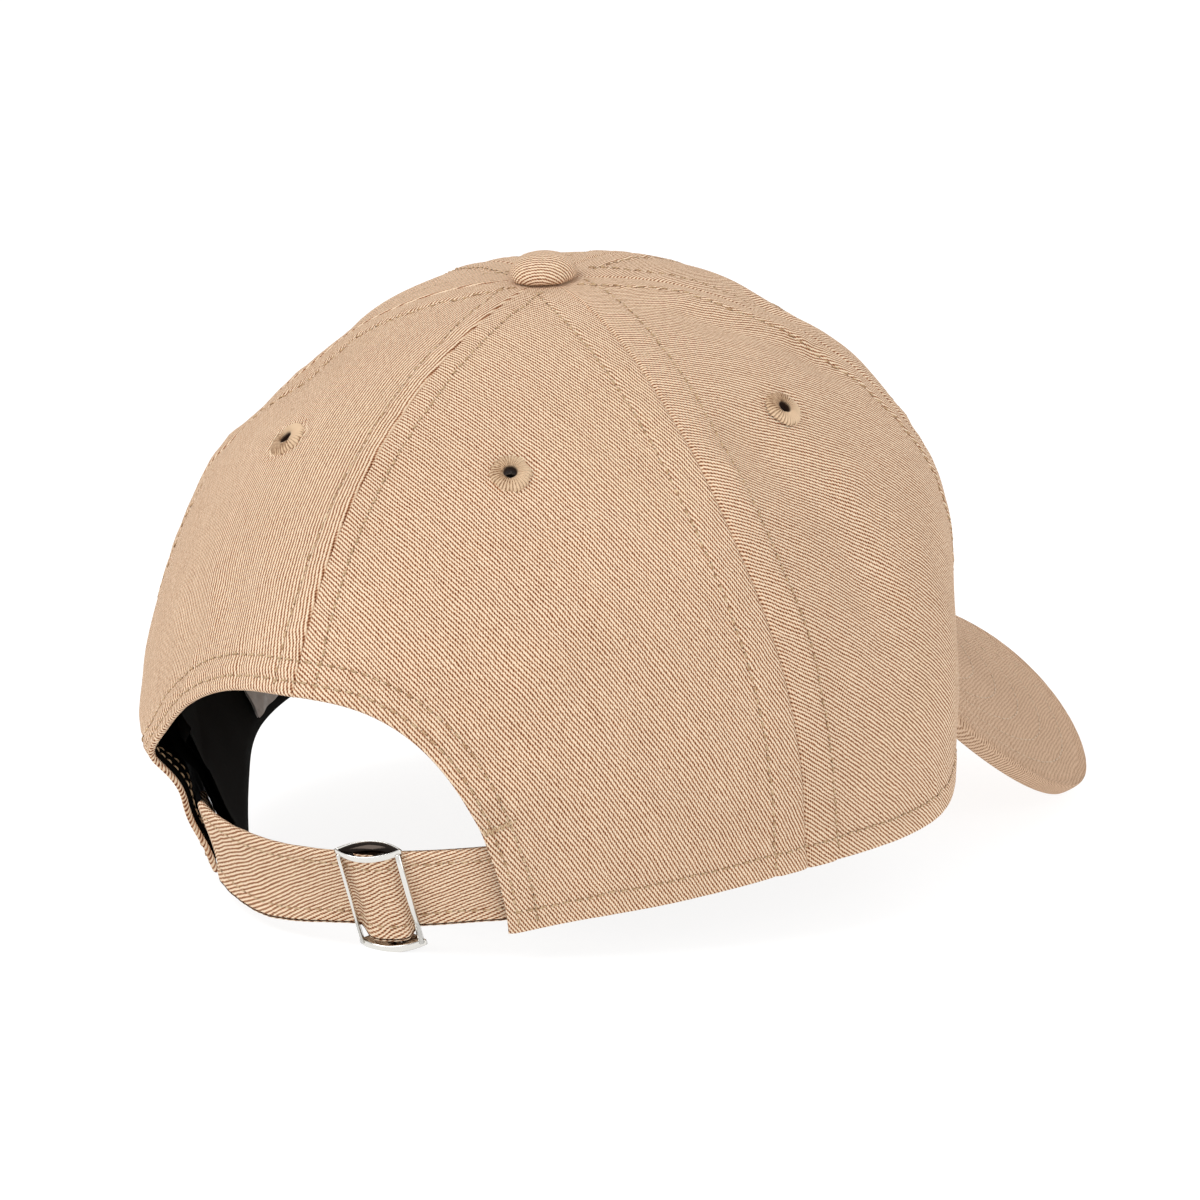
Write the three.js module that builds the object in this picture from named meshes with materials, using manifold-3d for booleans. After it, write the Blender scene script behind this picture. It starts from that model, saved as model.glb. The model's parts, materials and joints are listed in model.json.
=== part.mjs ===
// A six-panel cotton baseball cap with a curved brim, an arched opening at the back
// and a fabric strap that closes with a metal slide buckle.
//
// Everything is laid out in the cap's own frame, in millimetres: the rim of the crown lies in
// z = 0, the brim points to -Y, the wearer's right side is -X. The finished cap is then tipped
// back a little, so that it stands on z = 0 on its brim and its buckle, as it does on a table.

import * as THREE from 'three';
import { mergeVertices } from 'three/addons/utils/BufferGeometryUtils.js';
import Module from 'manifold-3d';

const wasm = await Module();
wasm.setup();

const DEG = Math.PI / 180;

// ---- Driving dimensions -------------------------------------------------------------------

const CROWN_HEIGHT = 108;
const CROWN_HALF_WIDTH = 93;
const CROWN_BACK = 124;             // rear semi-axis of the crown's plan
const CROWN_FRONT = 90.5;           // front semi-axis
const BACK_SQUARENESS = 1.84;       // below 2 the rear of the plan is a little pointed
const NARROWING = -0.05;            // the rear half is narrower than the front half by this share
const PROFILE_BACK = 1.9;           // roundness of the side view at the back, side and front
const PROFILE_SIDE = 2.12;
const PROFILE_FRONT = 2.4;
const RIM_SHIFT = -6;               // the rim's centre lies in front of the button
const TUCK_BACK = 0.1;              // how far the rim curls in, as a share of the radius
const TUCK_SIDE = 0.015;
const TUCK_FRONT = 0.03;
const TUCK_LEFT = 0.09;             // the strap pulls the left rear in a little more
const TUCK_REACH = 18;              // height over which the rim curls in
const PINCH = 0.165;                // the curved brim draws the temples together
const PINCH_REACH = 45;
const PINCH_ANGLE = 128;
const PINCH_SPREAD = 32;

const SEAM_ANGLES = [0, 67, 124.5, 180, -124.5, -67];   // from the centre back, + to the right
const SEAM_GAP = 0.3;
const FABRIC = 0.8;
const GAP = 0.3;
const TOP_HOLE = 2.6;               // radius left open under the button

const ARCH_RIGHT = 31;              // where the arch meets the rim, in degrees
const ARCH_LEFT = 33.5;
const ARCH_HEIGHT = 50;
const ARCH_SQUARENESS = 2.6;

const RIM_DIP = 4.5;                // the rim dips by this over the right ear
const RIM_DIP_LEFT = 1.0;           // and by this over the left
const RIM_DIP_START = 62;           // degrees where the dip starts; it ends at the brim
const RIM_RAISED_START = 96;        // degrees where the rim starts to rise over the brim

const TAPE_DEPTH = FABRIC + 0.85;   // clear of the flats in the faceted panels
const TAPE_THICK = 0.5;
const TAPE_WIDTH = 13;
const ARCH_TAPE_WIDTH = 11;

const BAND_DEPTH = 4.7;             // the sweatband's outer face, below the crown's outer face
const BAND_HEIGHT = 32;
const BAND_LAYER = 0.45;
const BAND_CORE = 0.5;
const BAND_SLACK = 0.6;             // room between the folded band and its core
const BAND_FOOT = 0.3;              // the band's lower edge above the rim

const EYELET_RADIUS = 4.4;
const EYELET_HOLE = 1.2;
const EYELETS = [
  { name: 'eyelet_rear_right', angle: 32.4, height: 86.4 },
  { name: 'eyelet_rear_left', angle: -32.4, height: 86.4 },
  { name: 'eyelet_side_right', angle: 89, height: 86.3 },
  { name: 'eyelet_side_left', angle: -89, height: 86.3 },
  { name: 'eyelet_front_right', angle: 150, height: 90 },
  { name: 'eyelet_front_left', angle: -150, height: 90 },
];

const BUTTON_RADIUS = 7.2;
const BUTTON_HEIGHT = 5.2;

const BRIM_TAIL_ANGLE = 121.5;      // where the brim's ends meet the rim
const BRIM_RISE = 14.5;             // height of the rim at the centre front
const BRIM_ROOT = -93;              // y of the rim at the centre front
const BRIM_SLOPE = 0.6;             // the brim falls this much for each millimetre forward
const BRIM_LEVEL = 0.0008;          // less this times the distance forward squared
const BRIM_ARCH = 0.0084;           // and by this times x squared to each side
const BRIM_HALF_WIDTH = 81.5;
const BRIM_TAIL_Y = -36.6;
const BRIM_TIP_Y = -146;
const BRIM_SQUARENESS = 2.73;
const BOARD_THICK = 1.8;
const BRIM_COVER = 0.7;
const BRIM_EDGE = 1.2;              // the covers reach past the board by this

const STRAP_LOW = -0.2;
const STRAP_HIGH = 18.3;
const STRAP_THICK = 0.8;
const STRAP_DEPTH = 3.1;            // the strap's mid-line below the crown's outer face
const STRAP_LEFT_END = -43;         // degrees, sewn behind the left panel
const STRAP_TAIL_END = 46;          // degrees, tucked in behind the right panel
const TAB_END = 40;

const BUCKLE_ANGLE = 14;
const BUCKLE_HALF_WIDTH = 8;
const BUCKLE_HALF_HEIGHT = 12.5;
const BUCKLE_HALF_DEPTH = 2.5;
const BUCKLE_PLATE = 1.1;
const BUCKLE_BAR_AT = 6.6;
const BUCKLE_SIDE_BAR = 1.1;        // half width
const CENTRE_BAR_RADIUS = 0.9;
const CENTRE_BAR_DEPTH = 1.5;       // behind the strap's mid-line

const LABEL_ANGLE = -86;
const LABEL_WIDTH = 24;
const LABEL_LOW = 4;
const LABEL_HIGH = 20;

const TIP_BACK = 9.35;              // degrees the cap leans back on the table
const STAND_HEIGHT = 20.26;         // height of the cap frame's origin over the table
const STAND_FORWARD = 17.35;        // brings the middle of the cap's length to y = 0

// ---- Colours ------------------------------------------------------------------------------

const looks = {
  twill: { color: 0xd6b898, roughness: 0.92, metalness: 0 },
  twillStrap: { color: 0xccad91, roughness: 0.92, metalness: 0 },
  thread: { color: 0xb89a6c, roughness: 0.85, metalness: 0 },
  blackTape: { color: 0x17150f, roughness: 0.9, metalness: 0 },
  sweatband: { color: 0x12110f, roughness: 0.95, metalness: 0 },
  interlining: { color: 0xe6e4df, roughness: 0.95, metalness: 0 },
  board: { color: 0xf1efe9, roughness: 0.5, metalness: 0 },
  label: { color: 0xc9c6c2, roughness: 0.8, metalness: 0 },
  steel: { color: 0xb9b9b7, roughness: 0.4, metalness: 1 },
  nickel: { color: 0xd9d9d6, roughness: 0.12, metalness: 1 },
};

// ---- The crown's surface ------------------------------------------------------------------

const bell = (value, spread) => Math.exp(-((value / spread) ** 2));

// angle is measured in degrees from the centre back, positive to the wearer's right.
function crownOuter(angle, z) {
  const s = Math.sin(angle * DEG);
  const c = Math.cos(angle * DEG);
  const atBack = c > 0;
  const q = Math.min(Math.max(z, 0) / CROWN_HEIGHT, 0.99999);
  const roundness = PROFILE_SIDE + ((atBack ? PROFILE_BACK : PROFILE_FRONT) - PROFILE_SIDE) * c * c;
  const side = Math.abs(angle);
  const leftRear = bell(angle + 60, 42);
  const tuck = TUCK_SIDE + ((atBack ? TUCK_BACK : TUCK_FRONT) - TUCK_SIDE) * c * c
    + TUCK_LEFT * leftRear;
  const squareness = atBack ? BACK_SQUARENESS : 2;
  const plan = (Math.abs(s) ** squareness + Math.abs(c) ** squareness) ** (-1 / squareness);
  const radius = (1 - q ** roundness) ** (1 / roundness)
    * (1 - tuck * bell(z, TUCK_REACH))
    * (1 - PINCH * bell(z, PINCH_REACH) * bell(side - PINCH_ANGLE, PINCH_SPREAD))
    * plan;
  const x = -CROWN_HALF_WIDTH * s * radius * (1 + NARROWING * c * (1 - 0.6 * q));
  const y = (atBack ? CROWN_BACK : CROWN_FRONT) * c * radius + RIM_SHIFT * (1 - q);
  return new THREE.Vector3(x, y, z);
}

function crownNormal(angle, z) {
  const top = CROWN_HEIGHT - 0.6;
  const low = Math.min(z, top - 1);
  const alongRim = crownOuter(angle + 0.5, low).sub(crownOuter(angle - 0.5, low));
  const upward = crownOuter(angle, low + 0.5).sub(crownOuter(angle, low - 0.5));
  return alongRim.cross(upward).normalize();
}

function crownPoint(angle, z, depth = 0) {
  return crownOuter(angle, z).addScaledVector(crownNormal(angle, z), -depth);
}

function crownRadius(angle, z) {
  const p = crownOuter(angle, z);
  return Math.hypot(p.x, p.y);
}

// Height at which the crown is trimmed off: the rim, raised over the brim, and the back arch.
function brimHeight(x, y) {
  const forward = BRIM_ROOT - y;
  return BRIM_RISE - BRIM_SLOPE * forward + BRIM_LEVEL * forward ** 2 - BRIM_ARCH * x * x;
}

function rimHeight(angle) {
  const side = Math.abs(angle);
  const turn = THREE.MathUtils.clamp((side - RIM_DIP_START) / (BRIM_TAIL_ANGLE - RIM_DIP_START), 0, 1);
  const dip = (angle > 0 ? RIM_DIP : RIM_DIP_LEFT) * Math.sin(turn * Math.PI) ** 2;
  const rim = crownOuter(angle, 4);
  const raised = THREE.MathUtils.smoothstep(side, RIM_RAISED_START, BRIM_TAIL_ANGLE);
  return raised * Math.max(0, brimHeight(rim.x, rim.y)) - dip;
}

function archHeight(angle) {
  const reach = angle > 0 ? ARCH_RIGHT : ARCH_LEFT;
  const share = Math.sin(Math.abs(angle) * DEG) / Math.sin(reach * DEG);
  if (share >= 1 || Math.abs(angle) > 90) {
    return -Infinity;
  }
  return ARCH_HEIGHT * (1 - share ** ARCH_SQUARENESS) ** (1 / ARCH_SQUARENESS);
}

const trimHeight = (angle) => Math.max(rimHeight(angle), archHeight(angle));

// Height on the meridian where the crown's radius has shrunk to the given value.
function heightAtRadius(angle, radius) {
  let low = CROWN_HEIGHT * 0.5;
  let high = CROWN_HEIGHT;
  for (let i = 0; i < 30; i += 1) {
    const middle = (low + high) / 2;
    if (crownRadius(angle, middle) > radius) {
      low = middle;
    } else {
      high = middle;
    }
  }
  return low;
}

// Heights from low to high, spaced along the meridian's own arc, closer where the rim curls in.
function meridianHeights(low, high, count) {
  const start = Math.asin(low / CROWN_HEIGHT);
  const end = Math.asin(high / CROWN_HEIGHT);
  const heights = [];
  for (let i = 0; i <= count; i += 1) {
    heights.push(CROWN_HEIGHT * Math.sin(start + (end - start) * (i / count) ** 1.2));
  }
  return heights;
}

// ---- Solids from points -------------------------------------------------------------------

function solidFrom(positions, triangles) {
  const geometry = new THREE.BufferGeometry();
  geometry.setAttribute('position', new THREE.Float32BufferAttribute(positions, 3));
  geometry.setIndex(triangles);
  return geometry;
}

// A sheet with thickness: two grids of points, joined round their edges.
function sheetSolid(outer, inner) {
  const rows = outer.length;
  const columns = outer[0].length;
  const positions = [];
  const triangles = [];
  for (const grid of [outer, inner]) {
    for (const row of grid) {
      for (const p of row) {
        positions.push(p.x, p.y, p.z);
      }
    }
  }
  const top = (i, j) => i * columns + j;
  const under = (i, j) => (rows + i) * columns + j;
  const quad = (a, b, c, d) => triangles.push(a, b, c, a, c, d);
  for (let i = 0; i < rows - 1; i += 1) {
    for (let j = 0; j < columns - 1; j += 1) {
      quad(top(i, j), top(i, j + 1), top(i + 1, j + 1), top(i + 1, j));
      quad(under(i, j), under(i + 1, j), under(i + 1, j + 1), under(i, j + 1));
    }
  }
  for (let j = 0; j < columns - 1; j += 1) {
    quad(top(0, j), under(0, j), under(0, j + 1), top(0, j + 1));
    quad(top(rows - 1, j), top(rows - 1, j + 1), under(rows - 1, j + 1), under(rows - 1, j));
  }
  for (let i = 0; i < rows - 1; i += 1) {
    quad(top(i, 0), top(i + 1, 0), under(i + 1, 0), under(i, 0));
    quad(top(i, columns - 1), under(i, columns - 1), under(i + 1, columns - 1), top(i + 1, columns - 1));
  }
  return solidFrom(positions, triangles);
}

// Triangles that fill a flat section, worked out on its points as they lie in space.
function fillSection(points) {
  const normal = new THREE.Vector3();
  points.forEach((p, i) => normal.add(p.clone().cross(points[(i + 1) % points.length])));
  const toFlat = new THREE.Quaternion()
    .setFromUnitVectors(normal.normalize(), new THREE.Vector3(0, 0, 1));
  const flat = points.map((p) => {
    const q = p.clone().applyQuaternion(toFlat);
    return new THREE.Vector2(q.x, q.y);
  });
  return THREE.ShapeUtils.triangulateShape(flat, []);
}

// A flat outline carried through a row of sections: place(section, [a, b]) gives each point.
function sweptSolid(given, sections, place) {
  const flat = given.map(([a, b]) => new THREE.Vector2(a, b));
  const outline = THREE.ShapeUtils.isClockWise(flat) ? given.slice().reverse() : given;
  const positions = [];
  const triangles = [];
  for (const section of sections) {
    for (const corner of outline) {
      const p = place(section, corner);
      positions.push(p.x, p.y, p.z);
    }
  }
  const n = outline.length;
  for (let i = 0; i < sections.length - 1; i += 1) {
    for (let j = 0; j < n; j += 1) {
      const k = (j + 1) % n;
      const a = i * n + j;
      const b = i * n + k;
      triangles.push(a, b, b + n, a, b + n, a + n);
    }
  }
  const last = (sections.length - 1) * n;
  const endTriangles = (section) => fillSection(outline.map((corner) => place(section, corner)));
  for (const [a, b, c] of endTriangles(sections[0])) {
    triangles.push(c, b, a);
  }
  for (const [a, b, c] of endTriangles(sections.at(-1))) {
    triangles.push(last + a, last + b, last + c);
  }
  return solidFrom(positions, triangles);
}

function volume(geometry) {
  const p = geometry.attributes.position;
  const index = geometry.index.array;
  let sum = 0;
  for (let i = 0; i < index.length; i += 3) {
    const [a, b, c] = [0, 1, 2].map((k) => new THREE.Vector3().fromBufferAttribute(p, index[i + k]));
    sum += a.dot(b.cross(c));
  }
  return sum / 6;
}

// Turns a solid's faces outward if its points were given in the other order.
function facingOut(geometry) {
  if (volume(geometry) < 0) {
    const index = geometry.index.array;
    for (let i = 0; i < index.length; i += 3) {
      [index[i], index[i + 1]] = [index[i + 1], index[i]];
    }
  }
  return geometry;
}

function toManifold(geometry) {
  const bare = geometry.clone();
  bare.deleteAttribute('normal');
  bare.deleteAttribute('uv');
  const merged = facingOut(mergeVertices(bare, 1e-5));
  return new wasm.Manifold(new wasm.Mesh({
    numProp: 3,
    vertProperties: new Float32Array(merged.attributes.position.array),
    triVerts: new Uint32Array(merged.index.array),
  }));
}

function fromManifold(manifold) {
  const mesh = manifold.getMesh();
  return solidFrom(Array.from(mesh.vertProperties), Array.from(mesh.triVerts));
}

// ---- The scene graph ----------------------------------------------------------------------

const cap = new THREE.Group();
cap.rotation.x = -TIP_BACK * DEG;
cap.position.set(0, STAND_FORWARD, STAND_HEIGHT);

function add(name, geometry, look, parent = cap) {
  const finished = geometry.index && !geometry.attributes.normal ? facingOut(geometry) : geometry;
  finished.computeVertexNormals();
  const mesh = new THREE.Mesh(finished, new THREE.MeshStandardMaterial(looks[look]));
  mesh.name = name;
  parent.add(mesh);
  return mesh;
}

// ---- Crown panels -------------------------------------------------------------------------

const ROWS = 14;

function eyeletFrame({ angle, height }) {
  const normal = crownNormal(angle, height);
  const frame = new THREE.Matrix4().lookAt(normal, new THREE.Vector3(), new THREE.Vector3(0, 0, 1));
  return frame.setPosition(crownPoint(angle, height));
}

function eyeletCutter(eyelet) {
  const cutter = new THREE.CylinderGeometry(EYELET_RADIUS + GAP, EYELET_RADIUS + GAP, 6, 20);
  return cutter.rotateX(90 * DEG).applyMatrix4(eyeletFrame(eyelet));
}

// Angles of a panel's columns. Near the arch's foot they crowd together, where it is steep.
function panelAngles(from, to) {
  const angles = [];
  const count = 11;
  for (let i = 0; i <= count; i += 1) {
    angles.push(from + ((to - from) * i) / count);
  }
  for (const reach of [ARCH_RIGHT, -ARCH_LEFT]) {
    for (const share of [0.86, 0.95, 0.99, 0.9985, 1]) {
      const angle = Math.sign(reach) * Math.asin(Math.sin(Math.abs(reach) * DEG) * share) / DEG;
      if (angle > from && angle < to) {
        angles.push(angle);
      }
    }
  }
  angles.sort((a, b) => a - b);
  return angles.filter((angle, i) => i === 0 || angle - angles[i - 1] > 0.02);
}

function panelSolid(from, to) {
  const outer = [];
  const inner = [];
  const middle = (from + to) / 2;
  for (const angle of panelAngles(from, to)) {
    // The seam gap is held in millimetres, so the panel's edge bends towards its middle.
    const share = (2 * (angle - middle)) / (to - from);
    const shifted = (z) => angle - (share * SEAM_GAP * 0.5) / (crownRadius(angle, z) * DEG);
    const heights = meridianHeights(trimHeight(angle), heightAtRadius(angle, TOP_HOLE), ROWS);
    outer.push(heights.map((z) => crownPoint(shifted(z), z)));
    inner.push(heights.map((z) => crownPoint(shifted(z), z, FABRIC)));
  }
  return sheetSolid(outer, inner);
}

const panels = [
  { name: 'panel_rear_right', from: 0, to: 67, eyelet: 0 },
  { name: 'panel_side_right', from: 67, to: 124.5, eyelet: 2 },
  { name: 'panel_front_right', from: 124.5, to: 180, eyelet: 4 },
  { name: 'panel_front_left', from: -180, to: -124.5, eyelet: 5 },
  { name: 'panel_side_left', from: -124.5, to: -67, eyelet: 3 },
  { name: 'panel_rear_left', from: -67, to: 0, eyelet: 1 },
];

for (const { name, from, to, eyelet } of panels) {
  const whole = toManifold(panelSolid(from, to));
  const cutter = toManifold(eyeletCutter(EYELETS[eyelet]));
  add(name, fromManifold(whole.subtract(cutter)), 'twill');
}

// ---- Embroidered eyelets ------------------------------------------------------------------

for (const eyelet of EYELETS) {
  const profile = [
    [EYELET_HOLE, -1.2], [EYELET_RADIUS, -1.2], [EYELET_RADIUS, 0.3],
    [EYELET_RADIUS - 0.9, 0.8], [EYELET_HOLE + 0.6, 0.8], [EYELET_HOLE, 0.3], [EYELET_HOLE, -1.2],
  ].map(([r, h]) => new THREE.Vector2(r, h));
  const ring = new THREE.LatheGeometry(profile, 18).rotateX(90 * DEG);
  const bare = toManifold(ring.applyMatrix4(eyeletFrame(eyelet)));
  add(eyelet.name, fromManifold(bare), 'thread');
}

// ---- Tapes over the inside of the seams ---------------------------------------------------

const TAPE_NAMES = [
  'seam_tape_back', 'seam_tape_rear_right', 'seam_tape_front_right',
  'seam_tape_front', 'seam_tape_front_left', 'seam_tape_rear_left',
];
const TAPE_TOP_RADIUS = 16;
const TAPE_RIM_GAP = 9;

SEAM_ANGLES.forEach((angle, i) => {
  const start = angle === 0 ? ARCH_HEIGHT + ARCH_TAPE_WIDTH + 1 : rimHeight(angle) + TAPE_RIM_GAP;
  const heights = meridianHeights(start, heightAtRadius(angle, TAPE_TOP_RADIUS), ROWS);
  const rectangle = [
    [-TAPE_WIDTH / 2, TAPE_DEPTH], [0, TAPE_DEPTH], [TAPE_WIDTH / 2, TAPE_DEPTH],
    [TAPE_WIDTH / 2, TAPE_DEPTH + TAPE_THICK], [0, TAPE_DEPTH + TAPE_THICK],
    [-TAPE_WIDTH / 2, TAPE_DEPTH + TAPE_THICK],
  ];
  const tape = sweptSolid(rectangle, heights, (z, [across, depth]) => {
    return crownPoint(angle + across / (crownRadius(angle, z) * DEG), z, depth);
  });
  add(TAPE_NAMES[i], tape, 'blackTape');
});

// ---- Tape round the inside of the back arch -----------------------------------------------

{
  const count = 26;
  const low = STRAP_HIGH + 3;
  const outer = [];
  const inner = [];
  for (let i = 0; i <= count; i += 1) {
    const t = -1 + (2 * i) / count;
    const reach = t > 0 ? ARCH_RIGHT : ARCH_LEFT;
    const turn = Math.abs(t) * 90 * DEG;
    const round = 2 / ARCH_SQUARENESS;
    const rows = [[], []];
    for (const width of [0.6, ARCH_TAPE_WIDTH]) {
      const sine = Math.sin(reach * DEG) * Math.sin(turn) ** round;
      const wide = sine + (width / CROWN_HALF_WIDTH) * Math.sin(turn);
      const angle = (Math.sign(t) * Math.asin(Math.min(wide, 1))) / DEG;
      const z = low + (ARCH_HEIGHT + width - low) * Math.cos(turn) ** round;
      rows[0].push(crownPoint(angle, z, TAPE_DEPTH));
      rows[1].push(crownPoint(angle, z, TAPE_DEPTH + TAPE_THICK));
    }
    outer.push(rows[0]);
    inner.push(rows[1]);
  }
  add('arch_tape', sheetSolid(outer, inner), 'blackTape');
}

// ---- Sweatband ----------------------------------------------------------------------------

const BAND_START = ARCH_RIGHT + 3;
const BAND_END = 360 - ARCH_LEFT - 3;

function bandAngles() {
  const count = 64;
  const angles = [];
  for (let i = 0; i <= count; i += 1) {
    const turn = BAND_START + ((BAND_END - BAND_START) * i) / count;
    angles.push(turn > 180 ? turn - 360 : turn);
  }
  return angles;
}

// Points of the band are given as depth below the crown and height over its lower edge. The
// band stands straight up from the rim rather than following the crown's bulge.
function bandPoint(angle, [depth, up]) {
  const foot = rimHeight(angle) + BAND_FOOT;
  const low = crownOuter(angle, foot);
  const flat = crownNormal(angle, 20).setZ(0).normalize();
  const high = crownOuter(angle, foot + BAND_HEIGHT);
  const lean = Math.max(0, low.clone().sub(high).dot(flat));
  const back = (lean * up) / BAND_HEIGHT;
  return low.addScaledVector(flat, -depth - back).setZ(foot + up);
}

{
  const near = BAND_DEPTH;
  const far = BAND_DEPTH + 2 * BAND_LAYER + 2 * BAND_SLACK + BAND_CORE;
  const fold = [
    [near, 0], [far, 0], [far, BAND_HEIGHT], [far - BAND_LAYER, BAND_HEIGHT],
    [far - BAND_LAYER, BAND_LAYER], [near + BAND_LAYER, BAND_LAYER],
    [near + BAND_LAYER, BAND_HEIGHT - 6], [near, BAND_HEIGHT - 6],
  ];
  add('sweatband', sweptSolid(fold, bandAngles(), bandPoint), 'sweatband');
  const coreNear = near + BAND_LAYER + BAND_SLACK;
  const core = [
    [coreNear, BAND_LAYER + BAND_SLACK], [coreNear + BAND_CORE, BAND_LAYER + BAND_SLACK],
    [coreNear + BAND_CORE, BAND_HEIGHT - 2], [coreNear, BAND_HEIGHT - 2],
  ];
  add('sweatband_interlining', sweptSolid(core, bandAngles(), bandPoint), 'interlining');

  const labelDepth = far + GAP;
  const label = [
    [labelDepth, LABEL_LOW], [labelDepth + 0.5, LABEL_LOW],
    [labelDepth + 0.5, LABEL_HIGH], [labelDepth, LABEL_HIGH],
  ];
  const angles = [];
  for (let i = -3; i <= 3; i += 1) {
    angles.push(LABEL_ANGLE + ((i / 6) * LABEL_WIDTH) / (CROWN_HALF_WIDTH * DEG));
  }
  add('blank_label', sweptSolid(label, angles, bandPoint), 'label');
}

// ---- Button on top ------------------------------------------------------------------------

{
  const seat = CROWN_HEIGHT + 0.5;
  const r = BUTTON_RADIUS;
  const h = BUTTON_HEIGHT;
  const lathe = (points) => {
    const turned = new THREE.LatheGeometry(points.map(([a, b]) => new THREE.Vector2(a, b)), 24);
    return fromManifold(toManifold(turned.rotateX(90 * DEG).translate(0, 0, seat)));
  };
  add('button_cover', lathe([
    [0, h - 0.8], [r * 0.5, h - 1.2], [r - 1.2, h * 0.5], [r - 0.8, 0],
    [r, 0.2], [r + 0.1, h * 0.3], [r * 0.88, h * 0.64], [r * 0.6, h * 0.88], [r * 0.3, h * 0.98], [0, h],
  ]), 'twill');
  add('button_shell', lathe([
    [0, h - 2.4], [r * 0.5 - 0.4, h - 2.7], [r - 2.6, 0.1], [r - 1.2, 0.1],
    [r - 1.55, h * 0.42], [r * 0.5 - 0.2, h - 1.6], [0, h - 1.15],
  ]), 'steel');
  add('button_rivet', lathe([
    [0, -4.4], [1.4, -4.4], [1.4, h - 2.95], [0, h - 2.75],
  ]), 'steel');
  add('button_back_plate', lathe([
    [1.75, -3.4], [6.2, -4.0], [6.2, -3.4], [1.75, -2.8], [1.75, -3.4],
  ]), 'steel');
}

// ---- Brim ---------------------------------------------------------------------------------

// across runs from -1 at the right tail to 1 at the left one, out from 0 at the rim to 1.
function brimPoint(across, out, lift, inset) {
  const angle = (across < 0 ? 1 : -1) * (180 - Math.abs(across) * (180 - BRIM_TAIL_ANGLE));
  const rim = crownOuter(angle, rimHeight(angle));
  const outward = crownNormal(angle, 12).setZ(0).normalize();
  const root = rim.clone().addScaledVector(outward, 0.5);
  const turn = across * 90 * DEG;
  const round = 2 / BRIM_SQUARENESS;
  const gather = Math.abs(across) ** 8;
  const halfWidth = BRIM_HALF_WIDTH - inset;
  const edge = new THREE.Vector3(
    Math.sign(across) * halfWidth * Math.abs(Math.sin(turn)) ** round,
    BRIM_TAIL_Y - (BRIM_TAIL_Y - BRIM_TIP_Y - inset) * Math.abs(Math.cos(turn)) ** round,
    0,
  );
  const tail = root.clone().addScaledVector(outward, 3.5 - inset);
  edge.lerp(tail, gather);
  const p = root.clone().lerp(edge, out);
  p.z = brimHeight(p.x, p.y);
  const fall = BRIM_SLOPE - 2 * BRIM_LEVEL * (BRIM_ROOT - p.y);
  const slope = new THREE.Vector3(2 * BRIM_ARCH * p.x, -fall, 1).normalize();
  return p.addScaledVector(slope, lift - 2);
}

function brimLayer(low, high, inset) {
  const columns = 30;
  const rows = 5;
  const upper = [];
  const lower = [];
  for (let i = 0; i <= columns; i += 1) {
    const across = -1 + (2 * i) / columns;
    const top = [];
    const under = [];
    for (let j = 0; j <= rows; j += 1) {
      top.push(brimPoint(across, j / rows, high, inset));
      under.push(brimPoint(across, j / rows, low, inset));
    }
    upper.push(top);
    lower.push(under);
  }
  return sheetSolid(upper, lower);
}

{
  const half = BOARD_THICK / 2;
  add('brim_board', brimLayer(-half, half, BRIM_EDGE), 'board');
  add('brim_cover_top', brimLayer(half + GAP, half + GAP + BRIM_COVER, 0), 'twill');
  add('brim_cover_under', brimLayer(-half - GAP - BRIM_COVER, -half - GAP, 0), 'twill');
}

// ---- Strap --------------------------------------------------------------------------------

// Millimetres along the strap for each degree round the crown, at the buckle.
const strapMiddle = (STRAP_LOW + STRAP_HIGH) / 2;
const strapSpeed = crownOuter(BUCKLE_ANGLE - 0.5, strapMiddle)
  .distanceTo(crownOuter(BUCKLE_ANGLE + 0.5, strapMiddle));

// Maps (along, outward) of the strap's edge-on outline to the cap, at one height.
function strapPoint(z, [along, outward]) {
  const angle = BUCKLE_ANGLE + along / strapSpeed;
  const flat = crownNormal(angle, 24).setZ(0).normalize();
  return crownOuter(angle, z).addScaledVector(flat, outward - STRAP_DEPTH);
}

// The edge-on outline of a ribbon of the strap's thickness along a path of (along, outward).
function ribbonOutline(path) {
  const left = [];
  const right = [];
  path.forEach(([a, n], i) => {
    const [a0, n0] = path[Math.max(i - 1, 0)];
    const [a1, n1] = path[Math.min(i + 1, path.length - 1)];
    const length = Math.hypot(a1 - a0, n1 - n0);
    const half = STRAP_THICK / 2;
    left.push([a - ((n1 - n0) / length) * half, n + ((a1 - a0) / length) * half]);
    right.push([a + ((n1 - n0) / length) * half, n - ((a1 - a0) / length) * half]);
  });
  return left.concat(right.reverse());
}

const alongAt = (angle) => (angle - BUCKLE_ANGLE) * strapSpeed;

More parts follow.
